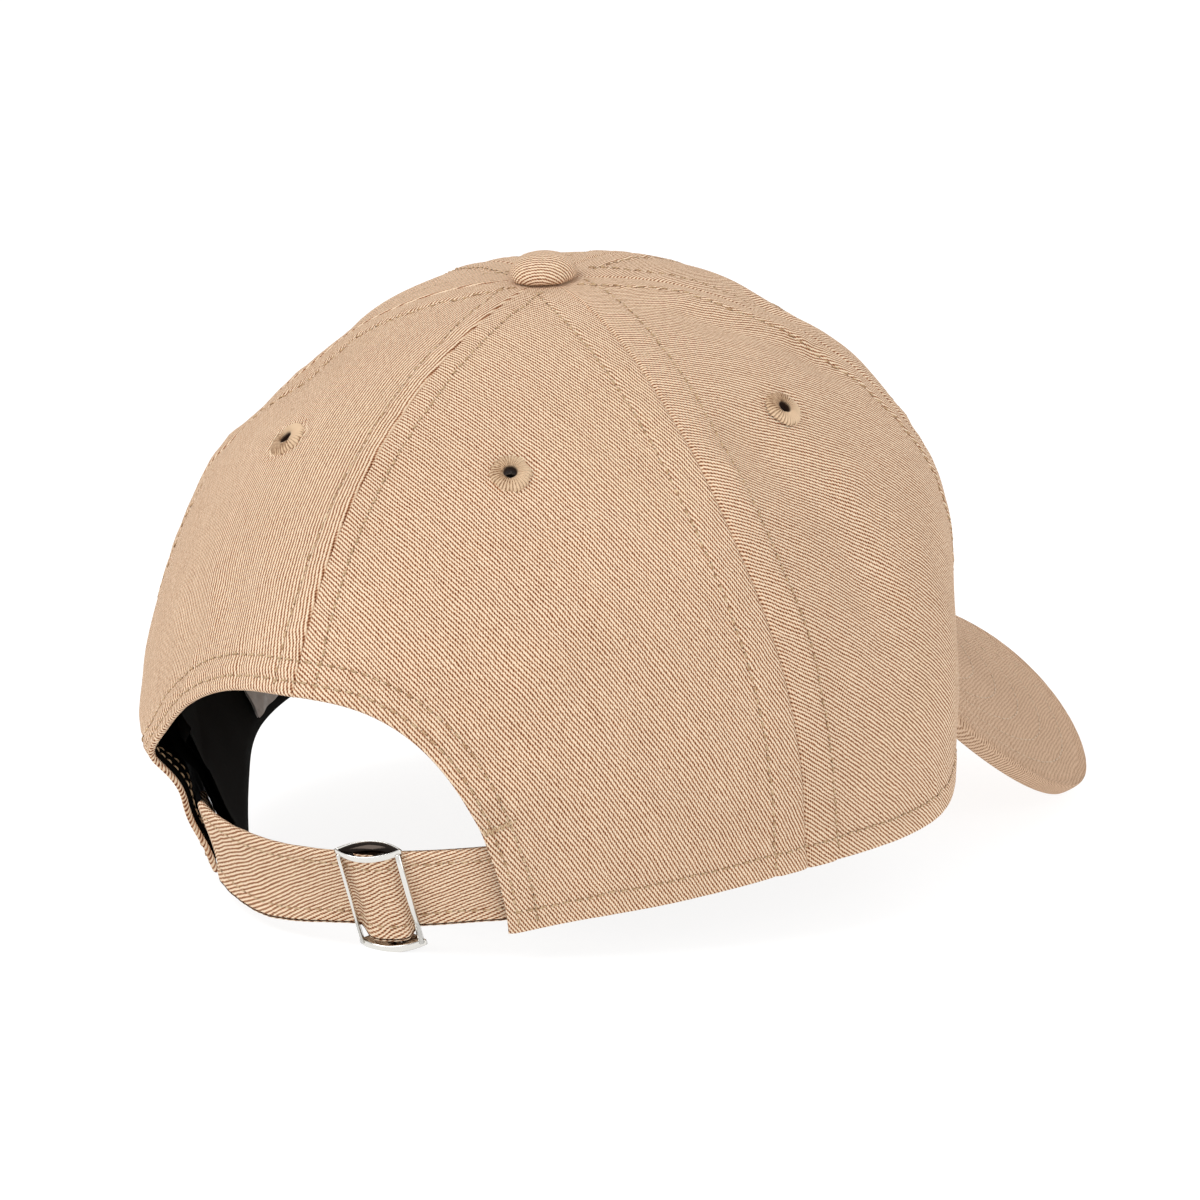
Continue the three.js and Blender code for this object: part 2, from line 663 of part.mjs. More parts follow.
{
  // The long strap lies in one curve and rises over the buckle's centre bar.
  const path = [];
  const crest = CENTRE_BAR_RADIUS + GAP * 2 + STRAP_THICK * 1.5 - CENTRE_BAR_DEPTH;
  const from = alongAt(STRAP_LEFT_END);
  for (let i = 0; i <= 9; i += 1) {
    path.push([from + ((-7 - from) * i) / 9, 0]);
  }
  for (const a of [-4.6, -3.2, -2, -0.8, 0.8, 2, 3.2, 4.6]) {
    path.push([a, Math.min(crest, crest * 1.35 * Math.cos((a / 6.4) * 90 * DEG) ** 1.3)]);
  }
  const to = alongAt(STRAP_TAIL_END);
  for (let i = 0; i <= 7; i += 1) {
    path.push([7 + ((to - 7) * i) / 7, 0]);
  }
  const strap = sweptSolid(ribbonOutline(path), [STRAP_LOW, STRAP_HIGH], strapPoint);
  add('strap_long', strap, 'twillStrap');

  // The short tab is sewn in at the right, and its end turns round the centre bar.
  const turn = CENTRE_BAR_RADIUS + GAP + STRAP_THICK / 2;
  const tab = [];
  const sewn = alongAt(TAB_END);
  for (let i = 0; i <= 6; i += 1) {
    tab.push([sewn + ((9 - sewn) * i) / 6, -STRAP_THICK - GAP - 0.1]);
  }
  tab.push([5.5, -CENTRE_BAR_DEPTH - turn * 0.75]);
  tab.push([3, -CENTRE_BAR_DEPTH - turn]);
  for (let i = 0; i <= 6; i += 1) {
    const swing = (-90 - i * 30) * DEG;
    tab.push([turn * Math.cos(swing), -CENTRE_BAR_DEPTH + turn * Math.sin(swing)]);
  }
  tab.push([2.2, -CENTRE_BAR_DEPTH + turn * 0.6]);
  const short = sweptSolid(ribbonOutline(tab), [STRAP_LOW, STRAP_HIGH], strapPoint);
  add('strap_tab', short, 'twillStrap');
}

// ---- Buckle -------------------------------------------------------------------------------

const buckle = new THREE.Group();
{
  // Its x runs along the strap to the right, its y up the strap's width and its z outward.
  const low = strapPoint(STRAP_LOW, [0, 0]);
  const high = strapPoint(STRAP_HIGH, [0, 0]);
  const up = high.clone().sub(low).normalize();
  const along = strapPoint(STRAP_LOW, [1, 0]).sub(strapPoint(STRAP_LOW, [-1, 0])).normalize();
  const outward = along.clone().cross(up).normalize();
  along.copy(up.clone().cross(outward));
  buckle.applyMatrix4(new THREE.Matrix4().makeBasis(along, up, outward));
  buckle.position.copy(low.lerp(high, 0.5));
  cap.add(buckle);

  const depthCentre = 0.9;
  const lens = new THREE.Shape();
  lens.moveTo(-BUCKLE_HALF_WIDTH, depthCentre);
  lens.quadraticCurveTo(0, depthCentre + 2 * BUCKLE_HALF_DEPTH, BUCKLE_HALF_WIDTH, depthCentre);
  lens.quadraticCurveTo(0, depthCentre - 2 * BUCKLE_HALF_DEPTH, -BUCKLE_HALF_WIDTH, depthCentre);
  const plate = (from) => new THREE.ExtrudeGeometry(lens, {
    depth: BUCKLE_PLATE, bevelEnabled: false, curveSegments: 8,
  }).rotateX(-90 * DEG).scale(1, 1, -1).translate(0, from, 0);
  const sideBar = (side) => {
    const length = 2 * BUCKLE_HALF_HEIGHT - BUCKLE_PLATE;
    return new THREE.BoxGeometry(2 * BUCKLE_SIDE_BAR, length, 1.6)
      .translate(side * BUCKLE_BAR_AT, 0, 1.6);
  };
  const topPlate = toManifold(plate(BUCKLE_HALF_HEIGHT - BUCKLE_PLATE));
  const bottomPlate = toManifold(plate(-BUCKLE_HALF_HEIGHT));
  const frame = topPlate.add(bottomPlate).add(toManifold(sideBar(-1))).add(toManifold(sideBar(1)));
  add('buckle_frame', fromManifold(frame), 'nickel', buckle);

  const barLength = 2 * (BUCKLE_HALF_HEIGHT - BUCKLE_PLATE - GAP);
  const bar = new THREE.CylinderGeometry(CENTRE_BAR_RADIUS, CENTRE_BAR_RADIUS, barLength, 12)
    .translate(0, 0, -CENTRE_BAR_DEPTH);
  add('buckle_bar', bar, 'nickel', buckle);
}

export default cap;
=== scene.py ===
"""A beige cotton twill baseball cap, standing on its brim and its buckle, seen from behind.

Lengths are millimetres in the cap's own frame until to_floor() turns them into the row frame:
the rim of the crown lies in z = 0, the brim points to -Y and the wearer's right side is -X.
Angles are degrees round the crown from the centre back, positive to the wearer's right.
"""

import json
import math

import bpy
import numpy as np
from mathutils import Matrix, Vector
from mathutils.kdtree import KDTree


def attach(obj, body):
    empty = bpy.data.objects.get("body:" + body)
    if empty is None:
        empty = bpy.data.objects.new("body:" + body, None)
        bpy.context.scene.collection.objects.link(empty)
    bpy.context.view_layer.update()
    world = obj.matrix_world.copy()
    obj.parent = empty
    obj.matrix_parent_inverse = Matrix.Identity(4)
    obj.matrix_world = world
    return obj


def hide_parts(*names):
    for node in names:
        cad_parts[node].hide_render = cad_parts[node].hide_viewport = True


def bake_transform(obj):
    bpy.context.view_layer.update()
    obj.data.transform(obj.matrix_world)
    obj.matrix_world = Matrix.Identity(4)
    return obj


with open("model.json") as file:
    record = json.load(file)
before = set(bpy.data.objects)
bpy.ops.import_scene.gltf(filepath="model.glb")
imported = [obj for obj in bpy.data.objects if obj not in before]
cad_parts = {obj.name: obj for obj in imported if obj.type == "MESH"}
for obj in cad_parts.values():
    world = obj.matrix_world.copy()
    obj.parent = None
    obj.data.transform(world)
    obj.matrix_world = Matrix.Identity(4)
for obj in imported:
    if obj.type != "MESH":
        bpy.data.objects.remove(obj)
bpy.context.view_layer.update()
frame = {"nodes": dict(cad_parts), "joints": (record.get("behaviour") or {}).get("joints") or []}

DEG = math.pi / 180

# ---- Sizes shared with the CAD source

TIP_BACK = 9.35
STAND_FORWARD = 17.35
STAND_HEIGHT = 20.26
CROWN_HEIGHT = 108.0
CROWN_HALF_WIDTH = 93.0
CROWN_BACK = 124.0          # from the middle to the back of the rim
CROWN_FRONT = 90.5
SEAMS = (0, 67, 124.5, 180, -124.5, -67)
ARCH_HEIGHT = 50.0
ARCH_SQUARENESS = 2.6
ARCH_RIGHT = 29.0           # before the twist
ARCH_LEFT = 33.5
RIM_DIP = 4.5
RIM_DIP_LEFT = 1.0
RIM_DIP_START = 62.0
RIM_RAISED_START = 96.0
EYELETS = {
    "rear_right": (32.4, 86.4),
    "rear_left": (-32.4, 86.4),
    "side_right": (89, 86.3),
    "side_left": (-89, 86.3),
    "front_right": (150, 90),
    "front_left": (-150, 90),
}
BAND_HEIGHT = 32.0
STRAP_LOW = -0.2
STRAP_HIGH = 18.3
STRAP_DEPTH = 3.1
BUCKLE_ANGLE = 14.0
BRIM_TAIL_ANGLE = 121.5
BRIM_RISE = 14.5
BRIM_ROOT = -93.0
BRIM_SLOPE = 0.6
BRIM_LEVEL = 0.0008
BRIM_ARCH = 0.0084
BRIM_HALF_WIDTH = 81.5
BRIM_TAIL_Y = -36.6
BRIM_TIP_Y = -146.0
BRIM_SQUARENESS = 2.73

# ---- Sizes of the cloth

TWIST = 2.0                 # degrees the back of the rim is turned to the wearer's right
FOOT_HANG = np.array([-1.6, 0.6, -4.5])
FOOT_TUCK = np.array([-2.2, -3.1, 0.0])      # crease in the left foot, a little above the rim
FOOT_PUFF = np.array([1.1, 1.6, 0.0])        # and the fold that bulges out over it
BUCKLE_DROP = 0.00185      # metres the buckle hangs below the middle of the strap

CLOTH = 1.3                 # thickness of a panel with its lining of seam allowance
STITCH_PITCH = 2.55
STITCH_LENGTH = 2.05
THREAD_RADIUS = 0.2
SEAM_ROW = 6.4              # topstitching from the seam, on both sides
RIM_ROW = 4.6
ARCH_ROWS = (2.4, 6.7)
RIB_PITCH = 0.75
FLOAT_PITCH = 0.7

# Each panel: name, from angle, to angle, and the way its twill ribs run, in degrees.
PANELS = (
    ("rear_right", 0, 67, -55),
    ("side_right", 67, 124.5, -46),
    ("front_right", 124.5, 180, -48),
    ("front_left", -180, -124.5, -50),
    ("side_left", -124.5, -67, -50),
    ("rear_left", -67, 0, -55),
)

# Soft folds and dents: start angle and height, end angle and height, half width, rise.
FOLDS = (
    (70, 84, 74, 44, 5, 0.9),
    (80, 84, 86, 44, 8, -2.4),
    (93, 70, 97, 34, 7, 1.4),
    (93.5, 66, 97, 32, 5, -1.2),
    (137, 80, 104, 18, 22, 2.2),
    (134, 96, 147, 91, 9, -2.6),
    (106, 105, 120, 92, 5, 1.2),
    (102, 101, 116, 86, 5, -1.4),
    (-78, 92, -50, 90, 11, -3.0),
    (-88, 84, -66, 78, 9, -4.2),
    (-74, 70, -60, 75, 14, 1.6),
    (22, 57, 34, 40, 9, -1.4),
    (40, 60, 34, 30, 7, 1.0),
    (28.5, 23.5, 33, 23.8, 3.2, -1.4),
    (52, 40, 60, 18, 12, -0.8),
    (-20, 62, -32, 48, 9, -1.0),
    (-60, 70, -50, 30, 12, -0.9),
    (-95, 80, -105, 40, 11, -1.2),
    (150, 70, 160, 35, 14, -0.9),
    (-140, 80, -150, 40, 12, -1.0),
)


# ---- The crown's shape


def to_floor(points):
    """Points of the cap's frame, in millimetres, as points of the row frame, in metres."""
    p = np.asarray(points, float)
    cosine, sine = math.cos(TIP_BACK * DEG), math.sin(TIP_BACK * DEG)
    x, y, z = p[..., 0], p[..., 1], p[..., 2]
    turned = (x, y * cosine + z * sine + STAND_FORWARD, z * cosine - y * sine + STAND_HEIGHT)
    return np.stack(turned, -1) / 1000


def bell(value, spread):
    return np.exp(-((value / spread) ** 2))


def ease(value):
    t = np.clip(value, 0, 1)
    return t * t * (3 - 2 * t)


def full_turn(count):
    return np.linspace(0, 2 * math.pi, count + 1)[:-1]


def unit(vectors):
    return vectors / np.maximum(np.linalg.norm(vectors, axis=-1, keepdims=True), 1e-9)


def crown_shell(angle, z):
    """The crown as the CAD source has it."""
    angle, z = np.broadcast_arrays(np.asarray(angle, float), np.asarray(z, float))
    s, c = np.sin(angle * DEG), np.cos(angle * DEG)
    q = np.clip(z / CROWN_HEIGHT, 0, 0.99999)
    back = c > 0
    roundness = 2.12 + (np.where(back, 1.9, 2.4) - 2.12) * c * c
    tuck = 0.015 + (np.where(back, 0.1, 0.03) - 0.015) * c * c + 0.09 * bell(angle + 60, 42)
    square = np.where(back, 1.84, 2.0)
    plan = (np.abs(s) ** square + np.abs(c) ** square) ** (-1 / square)
    radius = (1 - q**roundness) ** (1 / roundness) * (1 - tuck * bell(z, 18)) * plan
    radius = radius * (1 - 0.165 * bell(z, 45) * bell(np.abs(angle) - 128, 32))
    x = -CROWN_HALF_WIDTH * s * radius * (1 - 0.05 * c * (1 - 0.6 * q))
    y = np.where(back, CROWN_BACK, CROWN_FRONT) * c * radius - 6 * (1 - q)
    return np.stack([x, y, z], -1)


def wrapped(angle):
    return (np.asarray(angle, float) + 180) % 360 - 180


def crown_outer(angle, z):
    """The worn crown: its back twists a little near the rim and the arch's feet hang lower."""
    angle, z = np.broadcast_arrays(np.asarray(angle, float), np.asarray(z, float))
    near_rim = 1 - ease((z - 40) / 55)
    twist = TWIST * near_rim * (1 - ease((np.abs(angle) - 80) / 50))
    p = crown_shell(wrapped(angle + twist), z)
    hang = bell(angle + 36, 13) * (1 - ease(z / 26))
    p = p + hang[..., None] * FOOT_HANG
    p[..., 2] -= 2.0 * bell(angle - 26, 8) * (1 - ease(z / 26))
    return p + foot_tuck(angle, p[..., 2])


def foot_tuck(angle, z):
    """The crease that pulls the left foot of the arch in, with the end of the strap in it."""
    tuck = bell(angle + 43, 16) * bell(z - 17.3, 7)
    puff = bell(angle + 33, 14) * bell(z - 28, 4.5)
    return tuck[..., None] * FOOT_TUCK + puff[..., None] * FOOT_PUFF


def crown_normal(angle, z):
    low = np.minimum(z, CROWN_HEIGHT - 1.6)
    along = crown_outer(wrapped(angle + 0.5), low) - crown_outer(wrapped(angle - 0.5), low)
    upward = crown_outer(wrapped(angle), low + 0.5) - crown_outer(wrapped(angle), low - 0.5)
    return unit(np.cross(along, upward))


def level_out(angle, z):
    """The way out of the crown there, laid level."""
    normal = crown_normal(angle, z)
    normal[..., 2] = 0
    return unit(normal)


def crown_radius(angle, z):
    p = crown_outer(wrapped(angle), z)
    return np.hypot(p[..., 0], p[..., 1])


def brim_height(x, y):
    forward = BRIM_ROOT - y
    return BRIM_RISE - BRIM_SLOPE * forward + BRIM_LEVEL * forward**2 - BRIM_ARCH * x * x


def rim_height(angle):
    angle = wrapped(angle)
    side = np.abs(angle)
    turn = np.clip((side - RIM_DIP_START) / (BRIM_TAIL_ANGLE - RIM_DIP_START), 0, 1)
    rim = crown_shell(angle, 4)
    raised = ease((side - RIM_RAISED_START) / (BRIM_TAIL_ANGLE - RIM_RAISED_START))
    rise = raised * np.maximum(0, brim_height(rim[..., 0], rim[..., 1]))
    return rise - np.where(angle > 0, RIM_DIP, RIM_DIP_LEFT) * np.sin(turn * math.pi) ** 2


def half_arch(reach):
    """Angles and heights along one half of the back arch, from its top to its foot."""
    turn = np.linspace(0, math.pi / 2, 500)
    share = np.sin(turn) ** (2 / ARCH_SQUARENESS)
    angle = np.degrees(np.arcsin(np.sin(reach * DEG) * share))
    return angle, ARCH_HEIGHT * np.cos(turn) ** (2 / ARCH_SQUARENESS)


def lower_edge(start, end):
    """Angles and heights along a panel's lower edge, which is arch and rim."""
    if start == 0:
        angle, z = half_arch(ARCH_RIGHT)
        rim = np.linspace(ARCH_RIGHT, end, 300)[1:]
        return np.append(angle, rim), np.append(z, rim_height(rim))
    if end == 0:
        angle, z = half_arch(ARCH_LEFT)
        rim = np.linspace(start, -ARCH_LEFT, 300)[:-1]
        return np.append(rim, -angle[::-1]), np.append(rim_height(rim), z[::-1])
    angle = np.linspace(start, end, 500)
    return angle, rim_height(angle)


def run_length(points):
    steps = np.linalg.norm(np.diff(points, axis=0), axis=1)
    return np.append(0, np.cumsum(steps))


def resampled(stops, length, *values):
    return [np.interp(stops, length, v) for v in values]


# ---- The cloth's own relief


def waves(t, seed, lengths):
    """A smooth irregular wave from -1 to 1 along t, made of a few wavelengths."""
    phases = np.random.default_rng(seed).uniform(0, 2 * math.pi, len(lengths))
    return sum(np.sin(2 * math.pi * t / w + p) for w, p in zip(lengths, phases)) / len(lengths)


def cloud(points, seed, size):
    """A smooth irregular field in space, with lumps of about that size."""
    source = np.random.default_rng(seed)
    total = 0
    for _ in range(7):
        way = unit(source.normal(size=3)) * 2 * math.pi / (size * source.uniform(0.8, 1.5))
        total = total + np.sin(points @ way + source.uniform(0, 2 * math.pi))
    return total / 7


FAR = 99.0                  # distance given to places that are nowhere near the edge
EDGE_REACH = 78.0           # no cloth above this height is near the edge
edge_tree = KDTree(4000)
edge_total = 0
for _, begin, finish, _ in PANELS:
    for spot in crown_outer(*lower_edge(begin, finish)):
        edge_tree.insert(spot, edge_total)
        edge_total += 1
edge_tree.balance()


def edge_distance(points):
    flat = points.reshape(-1, 3)
    near = np.full(len(flat), FAR)
    for i in np.nonzero(flat[:, 2] < EDGE_REACH)[0]:
        near[i] = edge_tree.find(flat[i])[2]
    return near.reshape(points.shape[:-1])


def seam_distance(angle, z):
    """Distance to the nearest seam, and a number for that seam and the side of it."""
    radius = crown_radius(angle, z)
    gaps = np.stack([wrapped(angle - s) * DEG * radius for s in SEAMS])
    nearest = np.argmin(np.abs(gaps), axis=0)
    gap = np.take_along_axis(gaps, nearest[None], 0)[0]
    return np.abs(gap), nearest * 2 + (gap > 0)


def meridian_length(z):
    """Length up the cloth from the rim to a height, on a typical meridian."""
    heights = CROWN_HEIGHT * np.sin(np.linspace(0, math.pi / 2, 400))
    return np.interp(z, heights, run_length(crown_outer(45, heights)))


def relief(angle, z):
    """How far the cloth stands out from the plain crown: seams, hems, puckers and folds."""
    base = crown_outer(wrapped(angle), z)
    seam, side = seam_distance(angle, z)
    edge = edge_distance(base)
    up = meridian_length(z)
    pit = 1 + 0.45 * np.cos(2 * math.pi * up / STITCH_PITCH)
    shape = 0.42 * (1 - ease((seam - 6.2) / 1.5))
    shape -= 0.5 * bell(seam, 0.34) + 0.12 * bell(seam, 1.3)
    shape -= 0.36 * pit * bell(seam - SEAM_ROW, 0.6)
    pucker = np.zeros_like(seam)
    for number in range(12):
        here = side == number
        if here.any():
            pucker[here] = waves(up[here] + 0.4 * seam[here], number, (5.6, 7.3, 9.8, 15.5, 27))
    shape += 0.27 * pucker * bell(seam - 5.5, 5.0) * ease(seam / 2)
    at_arch = (np.abs(wrapped(angle)) < 40) & (base[..., 1] > 0) & (z > 1)
    arch = np.where(at_arch, edge, FAR)
    shape += 0.3 * (1 - ease((edge - 4.2) / 1.5)) - 0.3 * bell(edge - RIM_ROW, 0.7) * ~at_arch
    shape += 0.25 * (1 - ease((arch - 6.6) / 1.6))
    for row in ARCH_ROWS:
        shape -= 0.36 * bell(arch - row, 0.65)
    ripple = waves(wrapped(angle) * 1.9 + 0.3 * edge, 40, (5.1, 6.7, 9.3, 14.9))
    shape += 0.3 * ripple * bell(edge - 6, 5)
    for eye_angle, eye_z in EYELETS.values():
        away = np.linalg.norm(base - crown_outer(eye_angle, eye_z), axis=-1)
        shape -= 0.35 * bell(away - 4.9, 0.8)
    for number, (a0, z0, a1, z1, width, rise) in enumerate(FOLDS):
        start, end = crown_shell(a0, z0), crown_shell(a1, z1)
        line = end - start
        t = np.clip(((base - start) @ line) / (line @ line), 0, 1)
        away = np.linalg.norm(base - start - t[..., None] * line, axis=-1)
        shape += rise * bell(away, width) * (0.75 + 0.25 * np.sin(t * 9 + number))
    shape += 0.35 * cloud(base, 5, 38) + 0.12 * cloud(base, 6, 13)
    return shape * ease((CROWN_HEIGHT + 0.2 - z) / 1.5)


def cloth_point(angle, z, depth=0.0):
    normal = crown_normal(angle, z)
    lift = relief(angle, z) - depth
    return crown_outer(wrapped(angle), z) + normal * lift[..., None], normal


# ---- Making meshes


def build(name, parts, look, body, replaces=(), space=to_floor):
    """One object from parts of (points, faces, texture coordinates or None)."""
    points, faces, flats, start = [], [], [], 0
    for part_points, part_faces, part_flat in parts:
        points.append(part_points)
        faces.extend([[i + start for i in f] for f in part_faces])
        flats.append(part_points[:, :2] if part_flat is None else part_flat)
        start += len(part_points)
    mesh = bpy.data.meshes.new(name)
    mesh.from_pydata(space(np.concatenate(points)).tolist(), [], faces)
    index = np.empty(len(mesh.loops), int)
    mesh.loops.foreach_get("vertex_index", index)
    layer = mesh.uv_layers.new(name="cloth")
    layer.data.foreach_set("uv", np.concatenate(flats)[index].astype(np.float32).ravel())
    mesh.polygons.foreach_set("use_smooth", [True] * len(mesh.polygons))
    mesh.update()
    piece = bpy.data.objects.new(name, mesh)
    bpy.context.scene.collection.objects.link(piece)
    piece.data.materials.append(look)
    if body:
        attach(piece, body)
    if replaces:
        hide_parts(*replaces)
    return piece


def grid_part(grid, flat=None, keep=None, closed=False, flip=False):
    """Points and faces of a grid of points; keep says which of its squares are there."""
    rows, columns = grid.shape[:2]
    number = np.arange(rows * columns).reshape(rows, columns)
    if closed:
        number = np.concatenate([number, number[:, :1]], 1)
    a, b = number[:-1, :-1], number[:-1, 1:]
    c, d = number[1:, 1:], number[1:, :-1]
    corners = (a, d, c, b) if flip else (a, b, c, d)
    squares = np.stack(corners, -1).reshape(-1, 4)
    if keep is not None:
        squares = squares[keep.ravel()]
    flat = None if flat is None else flat.reshape(-1, 2)
    return grid.reshape(-1, 3), squares.tolist(), flat


DOME = 190.0                # twice the radius of the crown's curve, for laying its cloth flat


def pairs(x, y):
    """Texture coordinates from two fields, each as wide as it needs to be."""
    return np.stack(np.broadcast_arrays(x, y), -1)


def two_layers(face, back, flat):
    return [grid_part(face, flat), grid_part(back, flat, flip=True)]


def flattened(points, angle, z):
    """Across and up on a panel's cloth laid flat round the place at that angle and height."""
    centre = crown_shell(angle, z)
    normal = crown_normal(np.array(float(angle)), np.array(float(z)))
    sideways = unit(np.cross((0, 0, 1), normal))
    upward = np.cross(normal, sideways)
    away = points - centre
    chord = np.linalg.norm(away, axis=-1)
    arc = DOME * np.arcsin(np.minimum(chord / DOME, 1))
    level = np.stack([away @ sideways, away @ upward], -1)
    return unit(level) * arc[..., None]


def ribs(across, up, degrees):
    """Texture coordinates whose x runs across the twill's ribs and whose y runs along them."""
    c, s = math.cos(degrees * DEG), math.sin(degrees * DEG)
    return np.stack([up * c - across * s, across * c + up * s], -1)


def stitches(path, normals, pitch=STITCH_PITCH, length=STITCH_LENGTH, radius=THREAD_RADIUS, seed=0):
    """Parts for a row of stitches that dive in and out of the cloth along a path."""
    source = np.random.default_rng(seed)
    run = run_length(path)
    middles = np.arange(pitch * 0.6, run[-1] - pitch * 0.4, pitch)
    ring = full_turn(6)
    parts = []
    for middle in middles:
        stops = middle + np.array([-0.5, -0.4, -0.15, 0.15, 0.4, 0.5]) * length
        spine = np.stack([np.interp(stops, run, path[:, k]) for k in range(3)], -1)
        out = unit(np.array([np.interp(middle, run, normals[:, k]) for k in range(3)]))
        along = unit(spine[-1] - spine[0])
        sideways = np.cross(out, along)
        spine = spine + sideways * source.normal(0, 0.06)
        lift = np.array([-0.3, 0.02, 0.13, 0.13, 0.02, -0.3])
        girth = np.array([0.5, 0.9, 1, 1, 0.9, 0.5]) * radius
        centre = spine + out * lift[:, None]
        around = np.cos(ring)[:, None] * out * 0.8 + np.sin(ring)[:, None] * sideways
        grid = centre[:, None] + girth[:, None, None] * around[None]
        ends = np.abs(stops - middle) / length * 2
        parts.append(grid_part(grid, pairs(ends[:, None], ring), closed=True))
    return parts


# ---- Materials


class Graph:
    """A small helper that builds the node tree of one material."""

    def __init__(self, name):
        self.material = bpy.data.materials.new(name)
        self.material.use_nodes = True
        self.tree = self.material.node_tree
        self.shader = self.tree.nodes["Principled BSDF"]

    def add(self, kind, values=(), output=0, **settings):
        made = self.tree.nodes.new(kind)
        for key, value in settings.items():
            setattr(made, key, value)
        for socket, value in values:
            target = made.inputs[socket]
            if isinstance(value, bpy.types.NodeSocket):
                self.tree.links.new(value, target)
            else:
                target.default_value = value
        return made.outputs[output]

    def math(self, operation, a, b=0.0):
        return self.add("ShaderNodeMath", [(0, a), (1, b)], operation=operation)

    def cloth(self):
        """The cloth's texture coordinates, and their x and y apart."""
        flat = self.add("ShaderNodeTexCoord", output=2)
        made = self.tree.nodes.new("ShaderNodeSeparateXYZ")
        self.tree.links.new(flat, made.inputs[0])
        return flat, made.outputs[0], made.outputs[1]

    def place(self):
        return self.add("ShaderNodeTexCoord", output=3)

    def lifted(self, value, by, start):
        values = [(0, value), (1, by), (2, start)]
        return self.add("ShaderNodeMath", values, operation="MULTIPLY_ADD")

    def wave(self, phase):
        """A sine, from 0 to 1."""
        return self.lifted(self.math("SINE", phase), 0.5, 0.5)

    def total(self, *terms):
        """A sum of fields, each with its weight and the value that it is counted from."""
        whole = None
        for field, weight, centre in terms:
            if centre:
                field = self.math("SUBTRACT", field, centre)
            term = self.math("MULTIPLY", field, weight)
            whole = term if whole is None else self.math("ADD", whole, term)
        return whole

    def noise(self, vector, scale, detail=2.0, rough=0.5):
        values = [("Vector", vector), ("Scale", scale), ("Detail", detail), ("Roughness", rough)]
        return self.add("ShaderNodeTexNoise", values)

    def scaled(self, vector, scale):
        return self.add("ShaderNodeMapping", [("Vector", vector), ("Scale", scale)])

    def ramp(self, factor, stops):
        made = self.tree.nodes.new("ShaderNodeValToRGB")
        self.tree.links.new(factor, made.inputs[0])
        elements = made.color_ramp.elements
        while len(elements) < len(stops):
            elements.new(0.5)
        for element, (place, colour) in zip(elements, stops):
            element.position = place
            element.color = (*colour, 1)
        return made.outputs[0]

    def multiply(self, colour, by):
        values = [(0, 1.0), (6, colour), (7, by)]
        return self.add("ShaderNodeMix", values, 2, data_type="RGBA", blend_type="MULTIPLY")

    def bump(self, height, strength, distance, normal=None):
        values = [("Height", height), ("Strength", strength), ("Distance", distance)]
        if normal:
            values.append(("Normal", normal))
        return self.add("ShaderNodeBump", values)

    def finish(self, colour, roughness, normal=None, metallic=0.0, sheen=0.0, specular=0.3):
        for socket, value in (("Base Color", colour), ("Roughness", roughness), ("Normal", normal)):
            if isinstance(value, bpy.types.NodeSocket):
                self.tree.links.new(value, self.shader.inputs[socket])
            elif value is not None:
                fill = (*value, 1) if socket == "Base Color" else value
                self.shader.inputs[socket].default_value = fill
        self.shader.inputs["Metallic"].default_value = metallic
        self.shader.inputs["Specular IOR Level"].default_value = specular
        self.shader.inputs["Sheen Weight"].default_value = sheen
        self.shader.inputs["Sheen Roughness"].default_value = 0.5
        return self.material


def linear(red, green, blue):
    """A colour given as it looks on screen, 0 to 255."""
    shares = (red / 255, green / 255, blue / 255)
    return tuple(s / 12.92 if s <= 0.04045 else ((s + 0.055) / 1.055) ** 2.4 for s in shares)


def twill_look(name, groove_shade, middle, ridge):
    """Cotton twill: slanting ribs of short yarn floats, with slubs and a little fading; the dark
    grooves and pale ridges of the ribs are painted shade and painted highlight over the yarn's own
    tone.
    """
    g = Graph(name)
    flat, across, along = g.cloth()
    wander = g.total((g.noise(flat, 0.09, 2), 1.1, 0.5), (g.noise(flat, 1.3, 1), 0.3, 0.5))
    phase = g.math("MULTIPLY", g.math("ADD", across, wander), 2 * math.pi / RIB_PITCH)
    turns = g.math("MULTIPLY", along, 2 * math.pi / FLOAT_PITCH)
    floats = g.wave(g.math("ADD", turns, phase))
    fleck = g.noise(g.scaled(flat, (1.9, 0.9, 1)), 1.0, 2, 0.6)
    slub = g.noise(g.scaled(flat, (0.9, 0.12, 1)), 0.8, 1)
    height = g.total((g.wave(phase), 0.66, 0), (floats, 0.3, 0), (fleck, 0.36, 0.45), (slub, 0.12, 0.5))
    # Painted shade in the rib grooves and painted highlight on the ridges, over the yarn's own middle
    # tone.
    colour = g.ramp(height, [(0.06, groove_shade), (0.38, middle), (0.7, ridge)])
    faded = [(0.3, (0.93, 0.92, 0.91)), (0.7, (1.0, 1.0, 1.0))]
    colour = g.multiply(colour, g.ramp(g.noise(g.place(), 26, 3), faded))
    return g.finish(colour, 0.9, g.bump(height, 0.7, 0.00025), specular=0.08)


def thread_look(name, dark, light):
    """Twisted cotton thread, with painted shade where each stitch goes down into its needle hole."""
    g = Graph(name)
    _, end, _ = g.cloth()
    # Painted shade: each stitch darkens towards its two ends, where it dives into the cloth.
    hole = g.ramp(end, [(0.5, (1.0, 1.0, 1.0)), (0.9, (0.16, 0.1, 0.06))])
    place = g.place()
    strand = g.noise(place, 2600, 2, 0.6)
    mixed = g.total((strand, 0.6, 0), (g.noise(place, 420, 1), 0.4, 0))
    colour = g.multiply(g.ramp(mixed, [(0.3, dark), (0.7, light)]), hole)
    return g.finish(colour, 0.6, g.bump(strand, 0.5, 0.00008), sheen=0.1)


